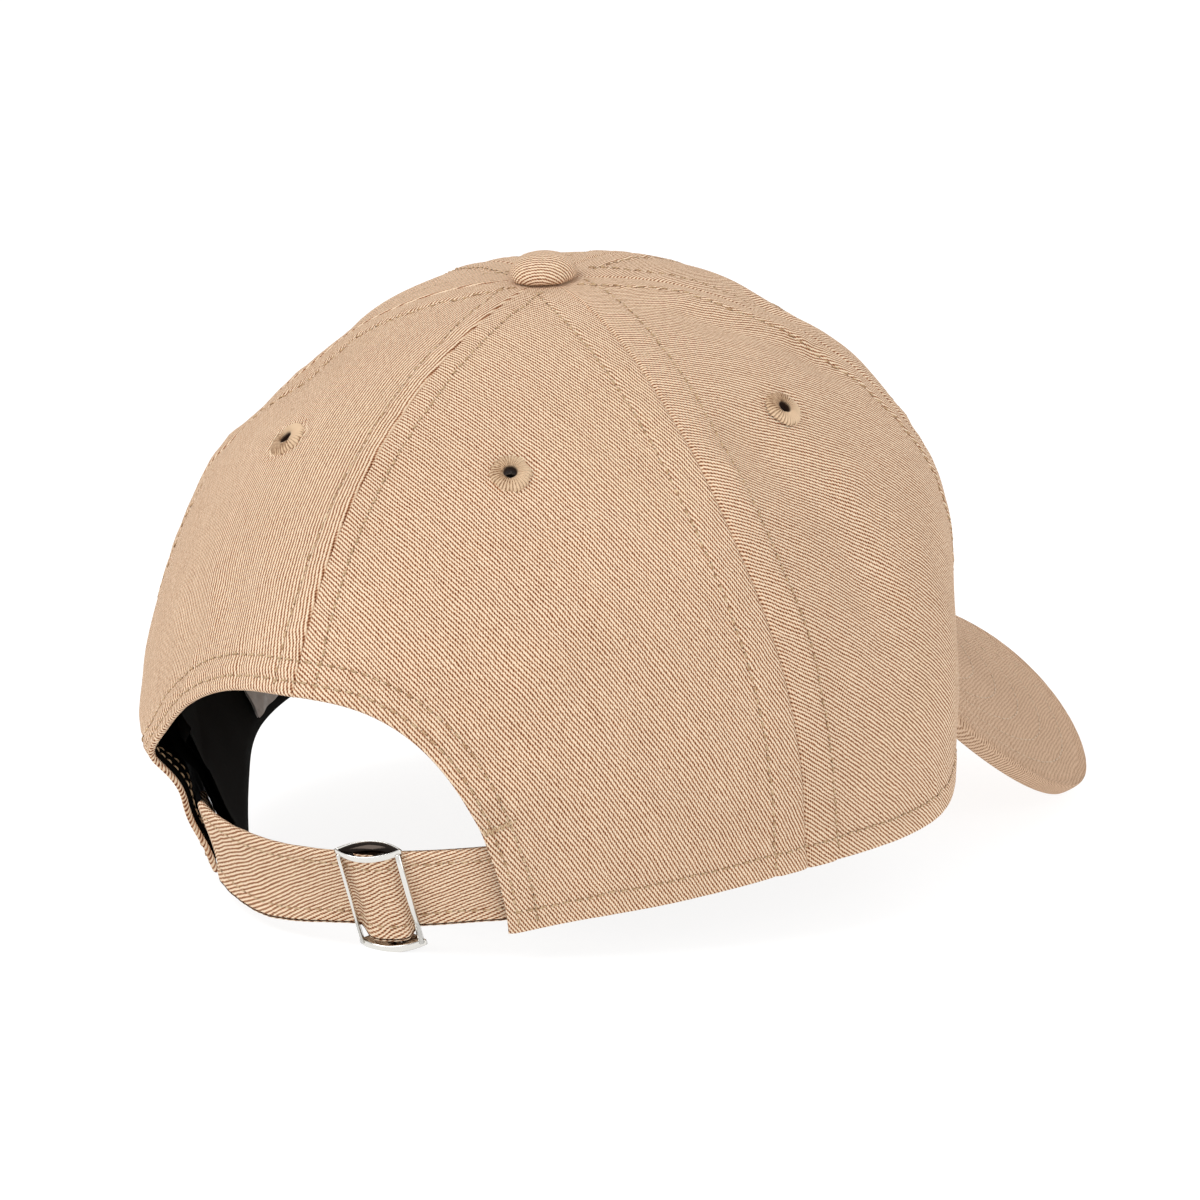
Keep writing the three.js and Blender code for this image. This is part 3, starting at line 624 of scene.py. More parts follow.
def embroidery_look(name, dark, light):
    """Satin stitches side by side round a hole, with painted shade near black on the hole's inner wall:
    x is the distance from its centre in mm.
    """
    g = Graph(name)
    _, reach, turn = g.cloth()
    strand = g.wave(g.math("MULTIPLY", turn, 2 * math.pi))
    mixed = g.total((strand, 0.5, 0), (g.noise(g.place(), 1500, 2, 0.6), 0.6, 0))
    colour = g.ramp(mixed, [(0.22, dark), (0.6, light)])
    # Painted shade: near black within 1.65 mm of the centre, down the hole's inner wall.
    depths = [(0.13, (0.05, 0.025, 0.015)), (0.165, (1.0, 1.0, 1.0))]
    colour = g.multiply(colour, g.ramp(g.math("MULTIPLY", reach, 0.1), depths))
    return g.finish(colour, 0.6, g.bump(mixed, 0.6, 0.0002))


def woven_look(name, dark, light, pitch=0.7):
    """A plain weave, as in tapes, linings and labels."""
    g = Graph(name)
    flat, across, along = g.cloth()
    warp = g.math("SINE", g.math("MULTIPLY", across, 2 * math.pi / pitch))
    weft = g.math("SINE", g.math("MULTIPLY", along, 2 * math.pi / pitch))
    weave = g.lifted(g.math("MULTIPLY", warp, weft), 0.5, 0.5)
    mixed = g.total((weave, 0.5, 0), (g.noise(flat, 0.6, 3, 0.65), 0.5, 0))
    colour = g.ramp(mixed, [(0.25, dark), (0.75, light)])
    return g.finish(colour, 0.93, g.bump(mixed, 0.5, 0.00015), specular=0.03)


def metal_look(name, colour, roughness, scratch):
    g = Graph(name)
    haze = g.noise(g.place(), 900, 3, 0.6)
    rough = g.lifted(haze, scratch, roughness)
    return g.finish(colour, rough, g.bump(haze, 0.06, 0.00005), metallic=1.0, specular=0.5)


def board_look(name):
    g = Graph(name)
    grain = g.noise(g.place(), 700, 2)
    colour = g.ramp(grain, [(0.3, linear(225, 223, 218)), (0.7, linear(243, 241, 236))])
    return g.finish(colour, 0.5, g.bump(grain, 0.2, 0.0001))


# Groove, middle and ridge tones: the groove's dark is painted shade, the ridge's pale is painted
# highlight.
twill = twill_look("twill", linear(94, 40, 18), linear(193, 144, 108), linear(244, 222, 194))
brim_shades = (linear(139, 107, 82), linear(190, 155, 127), linear(221, 190, 162))
brim_twill = twill_look("brim_twill", *brim_shades)
thread = thread_look("topstitch_thread", linear(152, 120, 84), linear(218, 188, 150))
brim_thread = thread_look("brim_thread", linear(186, 158, 128), linear(222, 198, 170))
eyelet_thread = embroidery_look("eyelet_thread", linear(130, 94, 64), linear(224, 195, 162))
black_tape = woven_look("black_tape", linear(3, 3, 3), linear(22, 21, 19))
sweatband_cloth = woven_look("sweatband_cloth", linear(3, 3, 3), linear(20, 19, 17), 0.55)
label_cloth = woven_look("label_cloth", linear(150, 146, 143), linear(196, 192, 189), 0.4)
nickel = metal_look("nickel", linear(226, 224, 219), 0.06, 0.08)
# A darkened copy of the nickel for the buckle's dishes: painted dark reflection in their hollows.
painted_reflection_nickel = metal_look("painted_reflection_nickel", linear(48, 42, 38), 0.1, 0.05)
steel = metal_look("steel", linear(176, 174, 170), 0.28, 0.2)
board = board_look("brim_board")

# ---- Crown panels


def crowded(total, fine, reach, coarse, both=True):
    """Stops along a length: close together near its ends, or its start, and wider between."""
    start = np.arange(0, reach, fine)
    inside = total - reach * (2 if both else 1)
    middle = np.linspace(reach, reach + inside, max(3, int(inside / coarse)))
    end = total - start[::-1] if both else []
    return np.concatenate([start, middle, end])


PANEL_LENGTH = 150.0
EYELET_HOLE = 2.9           # radius of the hole under the embroidery


def panel_parts(start, end, rib_way):
    angle, z = lower_edge(start, end)
    run = run_length(crown_outer(angle, z))
    stops = crowded(run[-1], 0.6, 9.0, 1.6)
    near = np.array([0, 0.12, 0.25, 0.4, 0.6, 0.9])      # closest together beside the seams
    stops = np.concatenate([near, stops[2:-2], run[-1] - near[::-1]])
    foot_angle, foot_z = resampled(stops, run, angle, z)
    top_angle = start + (end - start) * stops / run[-1]
    climb = crowded(PANEL_LENGTH, 0.7, 13.0, 1.5, both=False)[:, None] / PANEL_LENGTH
    low = np.arcsin(foot_z / CROWN_HEIGHT)
    turn = low + (math.radians(88.2) - low) * climb
    angles = foot_angle + (top_angle - foot_angle) * climb
    heights = CROWN_HEIGHT * np.sin(turn)
    outer, normal = cloth_point(angles, heights)
    laid = flattened(crown_outer(angles, heights), (start + end) / 2, 50)
    across, up = laid[..., 0], laid[..., 1]
    inner = outer - normal * CLOTH
    seam, _ = seam_distance(angles, heights)
    drawn = 0.2 * bell(seam - 3.5, 4.0)
    up = up + drawn * waves(heights * 1.2 + seam * 0.5, int(start) + 300, (4.1, 5.9, 8.3))

    half = CLOTH / 2
    down = unit(outer[0] - outer[2])
    sweep = np.linspace(0, math.pi, 7)[1:-1, None, None]
    roll = outer[0] - normal[0] * half + half * (np.cos(sweep) * normal[0] + np.sin(sweep) * down)
    roll_up = up[0] - np.linspace(0.3, 1.7, 5)[:, None] + 0 * up[0]
    roll_across = across[0] + 0 * roll_up

    skip = slice(None, None, 2)
    grid = np.concatenate([outer[::-1], roll, inner[skip]])
    across = np.concatenate([across[::-1], roll_across, across[skip]])
    up = np.concatenate([up[::-1], roll_up, up[skip]])
    keep = np.ones((grid.shape[0] - 1, grid.shape[1] - 1), bool)
    centres = (grid[:-1, :-1] + grid[1:, 1:]) / 2
    for eye_angle, eye_z in EYELETS.values():
        keep &= np.linalg.norm(centres - crown_outer(eye_angle, eye_z), axis=-1) > EYELET_HOLE
    points, faces, flat = grid_part(grid, ribs(across, up, rib_way), keep, flip=True)
    return [(points, faces + cut_edges(grid.shape, len(climb)), flat)]


def cut_edges(shape, outer_rows):
    """Faces that join a panel's outer layer to its lining along its two sides and its top.

    The lining has half as many rows as the outer layer, so each side face spans two of those.
    """
    rows, columns = shape[:2]
    number = np.arange(rows * columns).reshape(rows, columns)
    top, foot = number[0], outer_rows - 1
    lining_foot = rows - 1 - foot // 2
    faces = []
    for step in range(foot // 2):
        high, low = foot - 2 * step, lining_foot + step
        ring = number[[high, high - 1, high - 2, low + 1, low]]
        faces += [ring[:, 0], ring[::-1, -1]]
    return faces + list(np.stack([top[:-1], top[1:], number[-1, 1:], number[-1, :-1]], -1))


def give_with_brim(piece):
    """Bake the placing of the front of the crown, or of what is sewn to it, into its mesh."""
    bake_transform(piece)


for panel, begin, finish, way in PANELS:
    parts = panel_parts(begin, finish, way)
    body = "crown" if "rear" in panel else None
    cloth = build(f"cloth_panel_{panel}", parts, twill, body, [f"panel_{panel}"])
    if body is None:
        give_with_brim(cloth)

# ---- Topstitching of the crown


def along_seam(seam, side):
    """Angles and heights of a row of stitches beside a seam, from the edge to the button."""
    arch = abs(seam) < 1
    low = ARCH_HEIGHT + 0.6 if arch else float(rim_height(seam)) + 1
    turn = np.linspace(math.asin(low / CROWN_HEIGHT), math.radians(86), 400)
    z = CROWN_HEIGHT * np.sin(turn)
    return seam + side * SEAM_ROW / (crown_radius(seam, z) * DEG), z


def beside_edge(angle, z, inset):
    """The curve at a distance inside the crown's lower edge, as angles and heights."""
    points = crown_outer(angle, z)
    tangent = unit(np.gradient(points, axis=0))
    inward = np.cross(crown_normal(angle, z), tangent)
    upward = unit(crown_outer(angle, z + 0.5) - crown_outer(angle, z))
    around = unit(crown_outer(angle + 0.5, z) - crown_outer(angle, z))
    climb = np.einsum("ij,ij->i", inward, upward) * inset
    sideways = np.einsum("ij,ij->i", inward, around) * inset
    return angle + sideways / (crown_radius(angle, z) * DEG), z + climb * upward[:, 2]


def stitch_row(angle, z, depth=0.0, seed=0, **sizes):
    path, normal = cloth_point(angle, np.maximum(z, 0.2), depth)
    if depth:
        normal = -normal
    return stitches(path, normal, seed=seed, **sizes)


seam_rows = []
for number, seam in enumerate(SEAMS):
    for side in (-1, 1):
        seam_rows += stitch_row(*along_seam(seam, side), seed=number * 3 + side + 1)
give_with_brim(build("topstitching_seams", seam_rows, thread, None))

right_angle, right_z = half_arch(ARCH_RIGHT)
left_angle, left_z = half_arch(ARCH_LEFT)
arch_angle = np.append(-left_angle[::-1], right_angle[1:])
arch_z = np.append(left_z[::-1], right_z[1:])
hem_rows = []
inside_rows = []
for number, inset in enumerate(ARCH_ROWS):
    row_angle, row_z = beside_edge(arch_angle, arch_z, inset)
    here = row_z > 0.5
    hem_rows += stitch_row(row_angle[here], row_z[here], seed=20 + number)
    inside_rows += stitch_row(row_angle[here], row_z[here], 2.0, seed=30 + number)
rim_angle = np.linspace(ARCH_RIGHT + 0.6, 360 - ARCH_LEFT - 0.6, 2400)
rim_row = beside_edge(wrapped(rim_angle), rim_height(wrapped(rim_angle)), RIM_ROW)
hem_rows += stitch_row(*rim_row, seed=25)
give_with_brim(build("topstitching_hems", hem_rows, thread, None))
build("topstitching_inside", inside_rows, thread, "crown")

tack = []
tack_start = float(np.interp(-23.4, -right_z, right_angle)) + 0.3
for step in range(12):
    tack_angle = tack_start + np.linspace(0, 0.4, 8) + step * 0.34
    tack_z = 23.0 + 0.14 * step + np.linspace(-0.9, 0.9, 8) * (1 if step % 2 else -1)
    tack += stitch_row(tack_angle, tack_z, pitch=1.6, length=2.0, seed=60 + step)
build("pocket_bartack", tack, thread, "crown")

# ---- Embroidered eyelets

EYELET_STITCHES = 34


def eyelet_parts(angle, z, seed):
    source = np.random.default_rng(seed)
    centre, normal = cloth_point(np.array(float(angle)), np.array(float(z)))
    sideways = unit(np.cross((0, 0, 1), normal))
    upward = np.cross(normal, sideways)
    turn = full_turn(EYELET_STITCHES * 6)
    number = turn / (2 * math.pi) * EYELET_STITCHES
    ends = source.uniform(-0.28, 0.22, EYELET_STITCHES)[number.astype(int)]
    ridge = 0.5 + 0.5 * np.cos(turn * EYELET_STITCHES + math.pi)
    profile = [(1.35, -2.4), (1.25, -0.9), (1.3, 0.05), (1.6, 0.4), (2.2, 0.6), (2.9, 0.62)]
    profile += [(3.5, 0.5), (3.9, 0.28), (4.2, 0.0), (4.35, -0.5)]
    rows = []
    for step, (radius, height) in enumerate(profile):
        out = step / (len(profile) - 1)
        reach = radius + ends * out**3
        high = height + ridge * 0.34 * (1 if step > 1 else 0.3)
        wobble = 0.05 * waves(turn * 3, seed, (1.7, 3.1, 5.3))
        spot = centre + (reach * np.cos(turn))[:, None] * sideways
        spot = spot + (reach * np.sin(turn))[:, None] * upward
        rows.append(spot + (high + wobble)[:, None] * normal)
    reach = np.array([radius for radius, _ in profile])[:, None]
    return [grid_part(np.array(rows), pairs(reach, number), closed=True)]


for seed, (place, (angle, z)) in enumerate(EYELETS.items()):
    parts = eyelet_parts(angle, z, seed)
    body = "crown" if "rear" in place else None
    gone = [f"eyelet_{place}"]
    ring = build(f"embroidery_{place}", parts, eyelet_thread, body, gone)
    if body is None:
        give_with_brim(ring)

# ---- Button


def button_parts():
    turn = full_turn(96)
    profile = [(0.02, 5.3), (1.5, 5.25), (3.2, 4.95), (4.8, 4.35), (6.0, 3.5), (6.8, 2.5)]
    profile += [(7.25, 1.5), (7.3, 0.7), (6.9, 0.0), (6.0, -0.4), (4.5, -0.5)]
    profile = np.array(profile)
    run = run_length(profile)
    stops = np.linspace(0, run[-1], 40)
    radius, height = resampled(stops, run, profile[:, 0], profile[:, 1])
    gather = 0.16 * ease((stops[:, None] - 6.5) / 4) * waves(turn[None] * 8, 3, (3.1, 4.3, 6.1))
    reach = radius[:, None] + gather
    x, y = reach * np.cos(turn), reach * np.sin(turn)
    z = CROWN_HEIGHT + 0.4 + height[:, None] + 0 * x
    lean = 0.25 * cloud(np.stack([x, y, z], -1), 8, 9)
    flat = ribs(stops[:, None] * np.cos(turn), stops[:, None] * np.sin(turn), 24)
    return [grid_part(np.stack([x, y, z + lean], -1), flat, closed=True, flip=True)]


build("button_cloth", button_parts(), twill, "crown", ["button_cover"])

# ---- Brim

BRIM_HALF_THICK = 1.9
BRIM_ROWS = 8
BRIM_ROW_GAP = 6.2
TAIL_OVERHANG = 0.9         # how far the covers reach past the board at the brim's two ends


def brim_lines(across):
    """Where the brim starts at the rim and where it ends, for places across it from -1 to 1."""
    angle = np.where(across < 0, 1, -1) * (180 - np.abs(across) * (180 - BRIM_TAIL_ANGLE))
    rim = crown_outer(wrapped(angle), rim_height(wrapped(angle)))
    outward = level_out(angle, 12.0 + 0 * angle)
    root = rim + outward * 0.5
    turn = across * math.pi / 2
    power = 2 / BRIM_SQUARENESS
    x = np.sign(across) * BRIM_HALF_WIDTH * np.abs(np.sin(turn)) ** power
    y = BRIM_TAIL_Y - (BRIM_TAIL_Y - BRIM_TIP_Y) * np.abs(np.cos(turn)) ** power
    edge = np.stack([x, y, 0 * x], -1)
    tail = root + outward * 3.5
    share = (np.abs(across) ** 8)[..., None]
    return root, edge + (tail - edge) * share


def brim_point(across, out, lift):
    root, edge = brim_lines(across)
    p = root + (edge - root) * out[..., None]
    p[..., 2] = brim_height(p[..., 0], p[..., 1])
    fall = BRIM_SLOPE - 2 * BRIM_LEVEL * (BRIM_ROOT - p[..., 1])
    slope = unit(np.stack([2 * BRIM_ARCH * p[..., 0], -fall, 1 + 0 * fall], -1))
    return p + slope * (lift - 2)[..., None], slope


def brim_width(across):
    root, edge = brim_lines(across)
    return np.linalg.norm((edge - root)[..., :2], axis=-1)


def brim_relief(across, inset):
    """Rows of stitching sink into the brim, parallel to its outer edge."""
    shape = 0.1 * cloud(np.stack([across * 70, inset, 0 * inset], -1), 12, 17)
    for row in range(1, BRIM_ROWS + 1):
        shape -= 0.15 * bell(inset - row * BRIM_ROW_GAP, 0.9)
    shape -= 0.35 * bell(inset - 1.6, 0.7)
    pucker = waves(across * 120 + inset * 0.3, 14, (4.7, 6.1, 9.7))
    return shape + 0.07 * pucker


def brim_parts(side):
    across = np.linspace(-1, 1, 241)[None]
    out = np.append(np.linspace(-0.03, 0.9, 74), np.linspace(0.905, 1, 24))[:, None]
    across, out = np.broadcast_arrays(across, out)
    inset = (1 - out) * brim_width(across)
    lift = side * (BRIM_HALF_THICK + brim_relief(across, inset) * ease(inset / 1.2))
    grid, slope = brim_point(across, out, lift)
    root, edge = brim_lines(across[0])
    away = unit((edge - root) * (1, 1, 0))
    middle, _ = brim_point(across[0], np.ones(241), 0 * across[0])
    sweep = np.linspace(0, math.pi / 2, 7)[1:, None, None]
    bead = 1.5 + 0.05 * waves(across[0] * 120, 15, (3.3, 5.1, 7.9))[:, None]
    high = side * np.cos(sweep) * BRIM_HALF_THICK * slope[-1]
    roll = middle + high + np.sin(sweep) * bead * away
    whole = np.concatenate([grid, roll])
    core = np.concatenate([brim_point(across, out, 0 * lift)[0], roll - high])
    for end, near in ((0, 1), (-1, -2)):
        beyond = unit(whole[:, end] - whole[:, near]) * TAIL_OVERHANG
        whole[:, end] += beyond
        core[:, end] += beyond
    whole = np.concatenate([core[:, :1], whole, core[:, -1:]], 1)
    flat = ribs(whole[..., 0], whole[..., 1] * 1.1, -24 if side > 0 else 40)
    return [grid_part(whole, flat, flip=side > 0)]


for name, side in (("top", 1), ("under", -1)):
    build(f"brim_cloth_{name}", brim_parts(side), brim_twill, "brim", [f"brim_cover_{name}"])

brim_rows = []
for row in range(1, BRIM_ROWS + 1):
    across = np.linspace(-0.985, 0.985, 1500)
    width = brim_width(across)
    inset = row * BRIM_ROW_GAP + 0 * across
    inside = width > inset + 3
    across, inset, width = across[inside], inset[inside], width[inside]
    for side in (1, -1):
        lift = side * (BRIM_HALF_THICK - 0.25) + 0 * across
        path, slope = brim_point(across, 1 - inset / width, lift)
        brim_rows += stitches(path, slope * side, 3.0, 2.6, 0.17, 70 + row)
build("topstitching_brim", brim_rows, brim_thread, "brim")

# ---- Inside: seam tapes, arch tape, sweatband and label


def tape_parts(seam):
    arch = abs(seam) < 1
    low = ARCH_HEIGHT + 12 if arch else float(rim_height(seam)) + 9
    turn = np.linspace(math.asin(low / CROWN_HEIGHT), math.radians(80.5), 110)[:, None]
    z = CROWN_HEIGHT * np.sin(turn)
    across = np.array([-6.5, -6.3, -5, -3, -1, 0, 1, 3, 5, 6.3, 6.5])[None]
    depth = np.array([2.4, 1.75, 1.7, 1.75, 1.85, 1.9, 1.85, 1.75, 1.7, 1.75, 2.4])[None]
    angle = seam + across / (crown_radius(seam, z) * DEG)
    depth = depth + 0.12 * waves(meridian_length(z), int(abs(seam)) + 200, (5, 8, 13))
    face, _ = cloth_point(angle, z + 0 * across, depth + 0.5)
    back, _ = cloth_point(angle, z + 0 * across, depth)
    return two_layers(face, back, pairs(across, meridian_length(z)))


TAPES = ("back", "rear_right", "front_right", "front", "front_left", "rear_left")
for seam, name in zip(SEAMS, TAPES):
    parts = tape_parts(seam)
    tape = build(f"tape_{name}", parts, black_tape, None, [f"seam_tape_{name}"])
    give_with_brim(tape)


def arch_tape_parts():
    insets = (0.5, 0.7, 1.5, 2.7, 4, 6, 8, 9.3, 10.2, 10.8, 11)
    depths = (1.2, 1.42, 1.4, 1.3, 1.4, 1.4, 1.4, 1.3, 1.4, 1.45, 1.9)
    shown = np.linspace(0, len(arch_angle) - 1, 260).astype(int)
    face, back = [], []
    for inset, depth in zip(insets, depths):
        angle, z = beside_edge(arch_angle, arch_z, inset)
        low, _ = cloth_point(angle[shown], z[shown], depth)
        high, _ = cloth_point(angle[shown], z[shown], depth + 0.4)
        back.append(low)
        face.append(high)
    return two_layers(np.array(face), np.array(back), pairs(shown * 0.25, np.array(insets)[:, None]))


build("tape_arch", arch_tape_parts(), black_tape, "crown", ["arch_tape"])


def band_point(angle, depth, up):
    """A point of the sweatband, by its depth below the crown and height over its lower edge."""
    angle, depth, up = np.broadcast_arrays(angle, depth, up)
    level = level_out(angle, 20 + 0 * angle)
    loose = 3.5 * bell(angle + 55, 20) * (1 - 0.6 * up / BAND_HEIGHT)
    p = crown_outer(angle, rim_height(angle) + 0.3 + up)
    return p - level * (depth + loose)[..., None]


def band_parts():
    outline = [(4.8, 26), (4.75, 20), (4.7, 12), (4.7, 4), (4.9, 0.9), (5.5, 0.1), (6.6, 0.0)]
    outline += [(7.2, 0.8), (7.35, 4), (7.35, 12), (7.3, 20), (7.3, 28), (7.2, 31.6)]
    outline += [(6.95, 32.0), (6.8, 31.4), (6.85, 20), (6.85, 6), (6.3, 2.2), (5.4, 2.2)]
    outline += [(5.2, 6), (5.2, 20), (5.1, 26.2)]
    depth, up = np.array(outline).T
    start = np.interp(up, right_z[::-1], right_angle[::-1])[:, None] + 2.0
    end = 360 - np.interp(up, left_z[::-1], left_angle[::-1])[:, None] - 1.2
    turn = start + (end - start) * np.linspace(0, 1, 460)
    depth = depth[:, None] + 0.25 * waves(turn * 1.5, 50, (23, 31, 47)) * ease(up / 14)[:, None]
    grid = band_point(wrapped(turn), depth, up[:, None] + 0 * turn)
    flat = pairs(turn * 1.55, run_length(np.array(outline))[:, None])
    rise = np.linspace(0.4, 24, 26)[:, None]
    start = np.interp(rise, right_z[::-1], right_angle[::-1]) + 1.5
    end = 360 - np.interp(rise, left_z[::-1], left_angle[::-1]) - 1.0
    turn = wrapped(start + (end - start) * np.linspace(0, 1, 460))
    allowance = [
        grid_part(cloth_point(turn, np.maximum(rim_height(turn) + rise, 0.3), depth)[0])
        for depth in (1.7, 2.0)
    ]
    return [grid_part(grid, flat, flip=True)] + allowance


gone = ["sweatband", "sweatband_interlining"]
band = build("sweatband_fold", band_parts(), sweatband_cloth, None, gone)
give_with_brim(band)

LABEL_ANGLE = -82.0
LABEL_WIDTH = 24.0


def label_parts():
    half = LABEL_WIDTH / 2 / (CROWN_HALF_WIDTH * DEG)
    turn = np.linspace(LABEL_ANGLE - half, LABEL_ANGLE + half, 30)[None]
    up = np.linspace(4, 20, 18)[:, None]
    curl = 0.4 * waves(turn + up, 55, (9, 14)) ** 2
    face = band_point(turn, 8.3 + curl, up + 0 * turn)
    back = band_point(turn, 7.8 + curl, up + 0 * turn)
    return two_layers(face, back, pairs(turn * 1.6, up))


build("label", label_parts(), label_cloth, "crown", ["blank_label"])

# ---- Strap

STRAP_HALF = 0.72
STRAP_CORNER = 9.0          # how far the upper edge turns down at the sewn left end
STRAP_SAG = 3.0             # how far its lower edge drops and stands out on the left
STRAP_RIBS = 22             # degrees from the strap's length to its twill ribs
beside_buckle = crown_shell(BUCKLE_ANGLE + np.array([-0.5, 0.5]), (STRAP_LOW + STRAP_HIGH) / 2)
strap_speed = float(np.linalg.norm(beside_buckle[0] - beside_buckle[1]))    # mm for each degree


def strap_point(z, along, outward):
    """A point by its height, its distance along the strap from the buckle and outwards."""
    angle = BUCKLE_ANGLE + along / strap_speed
    level = level_out(angle, 24 + 0 * angle)
    corner = STRAP_CORNER * ease((-22 - angle) / 8)
    z = z - corner * (z - STRAP_LOW) / (STRAP_HIGH - STRAP_LOW)
    slack = ease((12 - angle) / 24) * ease((angle + 33) / 10)
    low = slack * (STRAP_HIGH - z) / (STRAP_HIGH - STRAP_LOW)
    p = crown_shell(angle, z) + level * (outward - STRAP_DEPTH + STRAP_SAG * low)[..., None]
    drop = 0.9 * bell(along, 13) + 2.6 * (1 - ease((np.abs(along) - 4.2) / 2.6))
    p[..., 2] -= STRAP_SAG * low + drop * (STRAP_HIGH - z) / (STRAP_HIGH - STRAP_LOW)
    return p + foot_tuck(angle, z)


def ribbon_parts(along, outward, half):
    """A folded ribbon of cloth along a path, with a round fold at both of its long edges."""
    slope = np.gradient(outward, along + 1e-6 * np.arange(len(along)))
    length = np.hypot(1, slope)
    side_along, side_out = -slope / length, 1 / length
    high = np.linspace(STRAP_LOW + half, STRAP_HIGH - half, 30)
    bend = np.linspace(-90, 90, 7)[1:-1] * DEG
    section = [(z, 1.0) for z in high]
    section += [(STRAP_HIGH - half + half * math.cos(b), -math.sin(b)) for b in bend]
    section += [(z, -1.0) for z in high[::-1]]
    section += [(STRAP_LOW + half - half * math.cos(b), math.sin(b)) for b in bend]
    z, face = np.array(section).T
    from_edge = np.minimum(z - STRAP_LOW, STRAP_HIGH - z)
    thick = 1 - 0.3 * bell(from_edge - 3.0, 0.6) + 0.12 * (1 - ease((from_edge - 2.6) / 1.2))
    thick = np.where(from_edge > half, thick, 1)
    dent = 0.12 * waves(along[:, None] + 0.3 * z, 90, (6, 9, 14))
    shift = half * (face * thick)[None] + dent
    a = along[:, None] + side_along[:, None] * shift
    n = outward[:, None] + side_out[:, None] * shift
    grid = strap_point(z[None] + 0 * a, a, n)
    run = run_length(np.stack([along, outward], -1))
    around = run_length(np.stack([z, face * half], -1))
    across = (run - np.interp(0, along, run))[:, None]
    swirl = 0.016 * np.maximum(0, 6.5 - np.abs(along - 1))[:, None] * (along[:, None] + 5)
    return [grid_part(grid, ribs(across + 0 * z, around[None] - swirl, STRAP_RIBS))]


def strap_stitches(along, outward, seed):
    parts = []
    slope = np.gradient(outward, along)
    for z in (STRAP_LOW + 3.0, STRAP_HIGH - 3.0):
        for face in (1, -1):
            shift = face * STRAP_HALF * 0.72
            length = np.hypot(1, slope)
            a = along - slope / length * shift
            n = outward + shift / length
            path = strap_point(z + 0 * a, a, n)
            level = crown_normal(BUCKLE_ANGLE + along / strap_speed, 24 + 0 * along)
            parts += stitches(path, unit(level) * face, seed=seed + int(z) + face)
    return parts


def strap_path(start, end):
    along = np.linspace(start, end, int(abs(end - start) * 1.4) + 2)
    crest = 1.75 * ease((6.0 - np.abs(along)) / 4.2)
    return along, crest - 0.12


def strap_along(angle):
    return (angle - BUCKLE_ANGLE) * strap_speed


left_path = strap_path(strap_along(-39), 0)
right_path = strap_path(0, strap_along(46))
buckle_middle, left_end, right_end = (
    to_floor(strap_point(np.array(10.8), np.array(along), np.array(0.0)))
    for along in (0.0, strap_along(-30), strap_along(30))
)


def slide_with_buckle(piece):
    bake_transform(piece)


halves = (("left", left_path, left_end), ("right", right_path, right_end))
for hand, path, far_end in halves:
    parts = ribbon_parts(*path, STRAP_HALF)
    gone = ["strap_long"] if hand == "left" else []
    slide_with_buckle(build(f"strap_{hand}_half", parts, twill, None, gone))
for (hand, path, far_end), seed in zip(halves, (100, 110)):
    parts = strap_stitches(*path, seed)
    rows = build(f"topstitching_strap_{hand}", parts, thread, None)
    slide_with_buckle(rows)


def tab_parts():
    """The short tab comes from the right and turns back round the buckle's centre bar."""
    sewn = strap_along(40)
    straight = [(a, -1.75) for a in np.linspace(sewn, 6, 36)]
    slant = [(5.0, -2.1), (4.0, -2.7), (3.0, -3.1)]
    turn = 1.55
    sweep = np.radians(np.arange(-80, -271, -15))
    curl = [(turn * math.cos(s), -1.5 + turn * math.sin(s)) for s in sweep]
    a, n = np.array(straight + slant + curl).T
    step = unit(np.stack([np.gradient(a), np.gradient(n)], -1))
    half = 0.4
    z = np.linspace(STRAP_LOW + 0.6, STRAP_HIGH - 0.7, 16)
    parts = []
    run = run_length(np.stack([a, n], -1))
    for face in (1, -1):
        fa, fn = a - step[:, 1] * half * face, n + step[:, 0] * half * face
        grid = strap_point(z[None] + 0 * fa[:, None], fa[:, None] + 0 * z, fn[:, None] + 0 * z)
        flat = ribs(run[:, None] + 0 * z, z[None] + 0 * fa[:, None], STRAP_RIBS)
        parts.append(grid_part(grid, flat, flip=face > 0))
    return parts


tab = build("strap_short_tab", tab_parts(), twill, None, ["strap_tab"])
slide_with_buckle(tab)

# ---- Buckle

joints = {joint["name"]: joint for joint in frame["joints"]}
strap_way = Vector(joints["buckle_slide"]["axis"]).normalized()
bar_way = Vector(joints["buckle_tilt"]["axis"]).normalized()
out_way = strap_way.cross(bar_way).normalized()
bar_place = Vector(joints["buckle_tilt"]["pos_m"])
buckle_centre = bar_place + out_way * 0.0015 - bar_way * BUCKLE_DROP
buckle_axes = np.array([strap_way, bar_way, out_way])


def buckle_space(points):
    """Millimetres along the strap, up it and outwards, as points of the row frame."""
    return np.array(buckle_centre) + np.asarray(points) / 1000 @ buckle_axes


LENS_WIDTH = 7.4
LENS_DEPTH = 2.6
LENS_CENTRE = 0.9


def lens_ring(scale, y):
    """A ring of points on the pointed oval of the buckle's end plates."""
    t = np.linspace(0, 1, 33)[:-1]
    x = LENS_WIDTH * (1 - 2 * t)
    z = 4 * LENS_DEPTH * t * (1 - t)
    x, z = np.append(x, -x), np.append(z, -z)
    tip = np.abs(x) / LENS_WIDTH
    return np.stack([x * scale * (1 - 0.03 * tip), y + 0 * x, LENS_CENTRE + z * scale], -1)


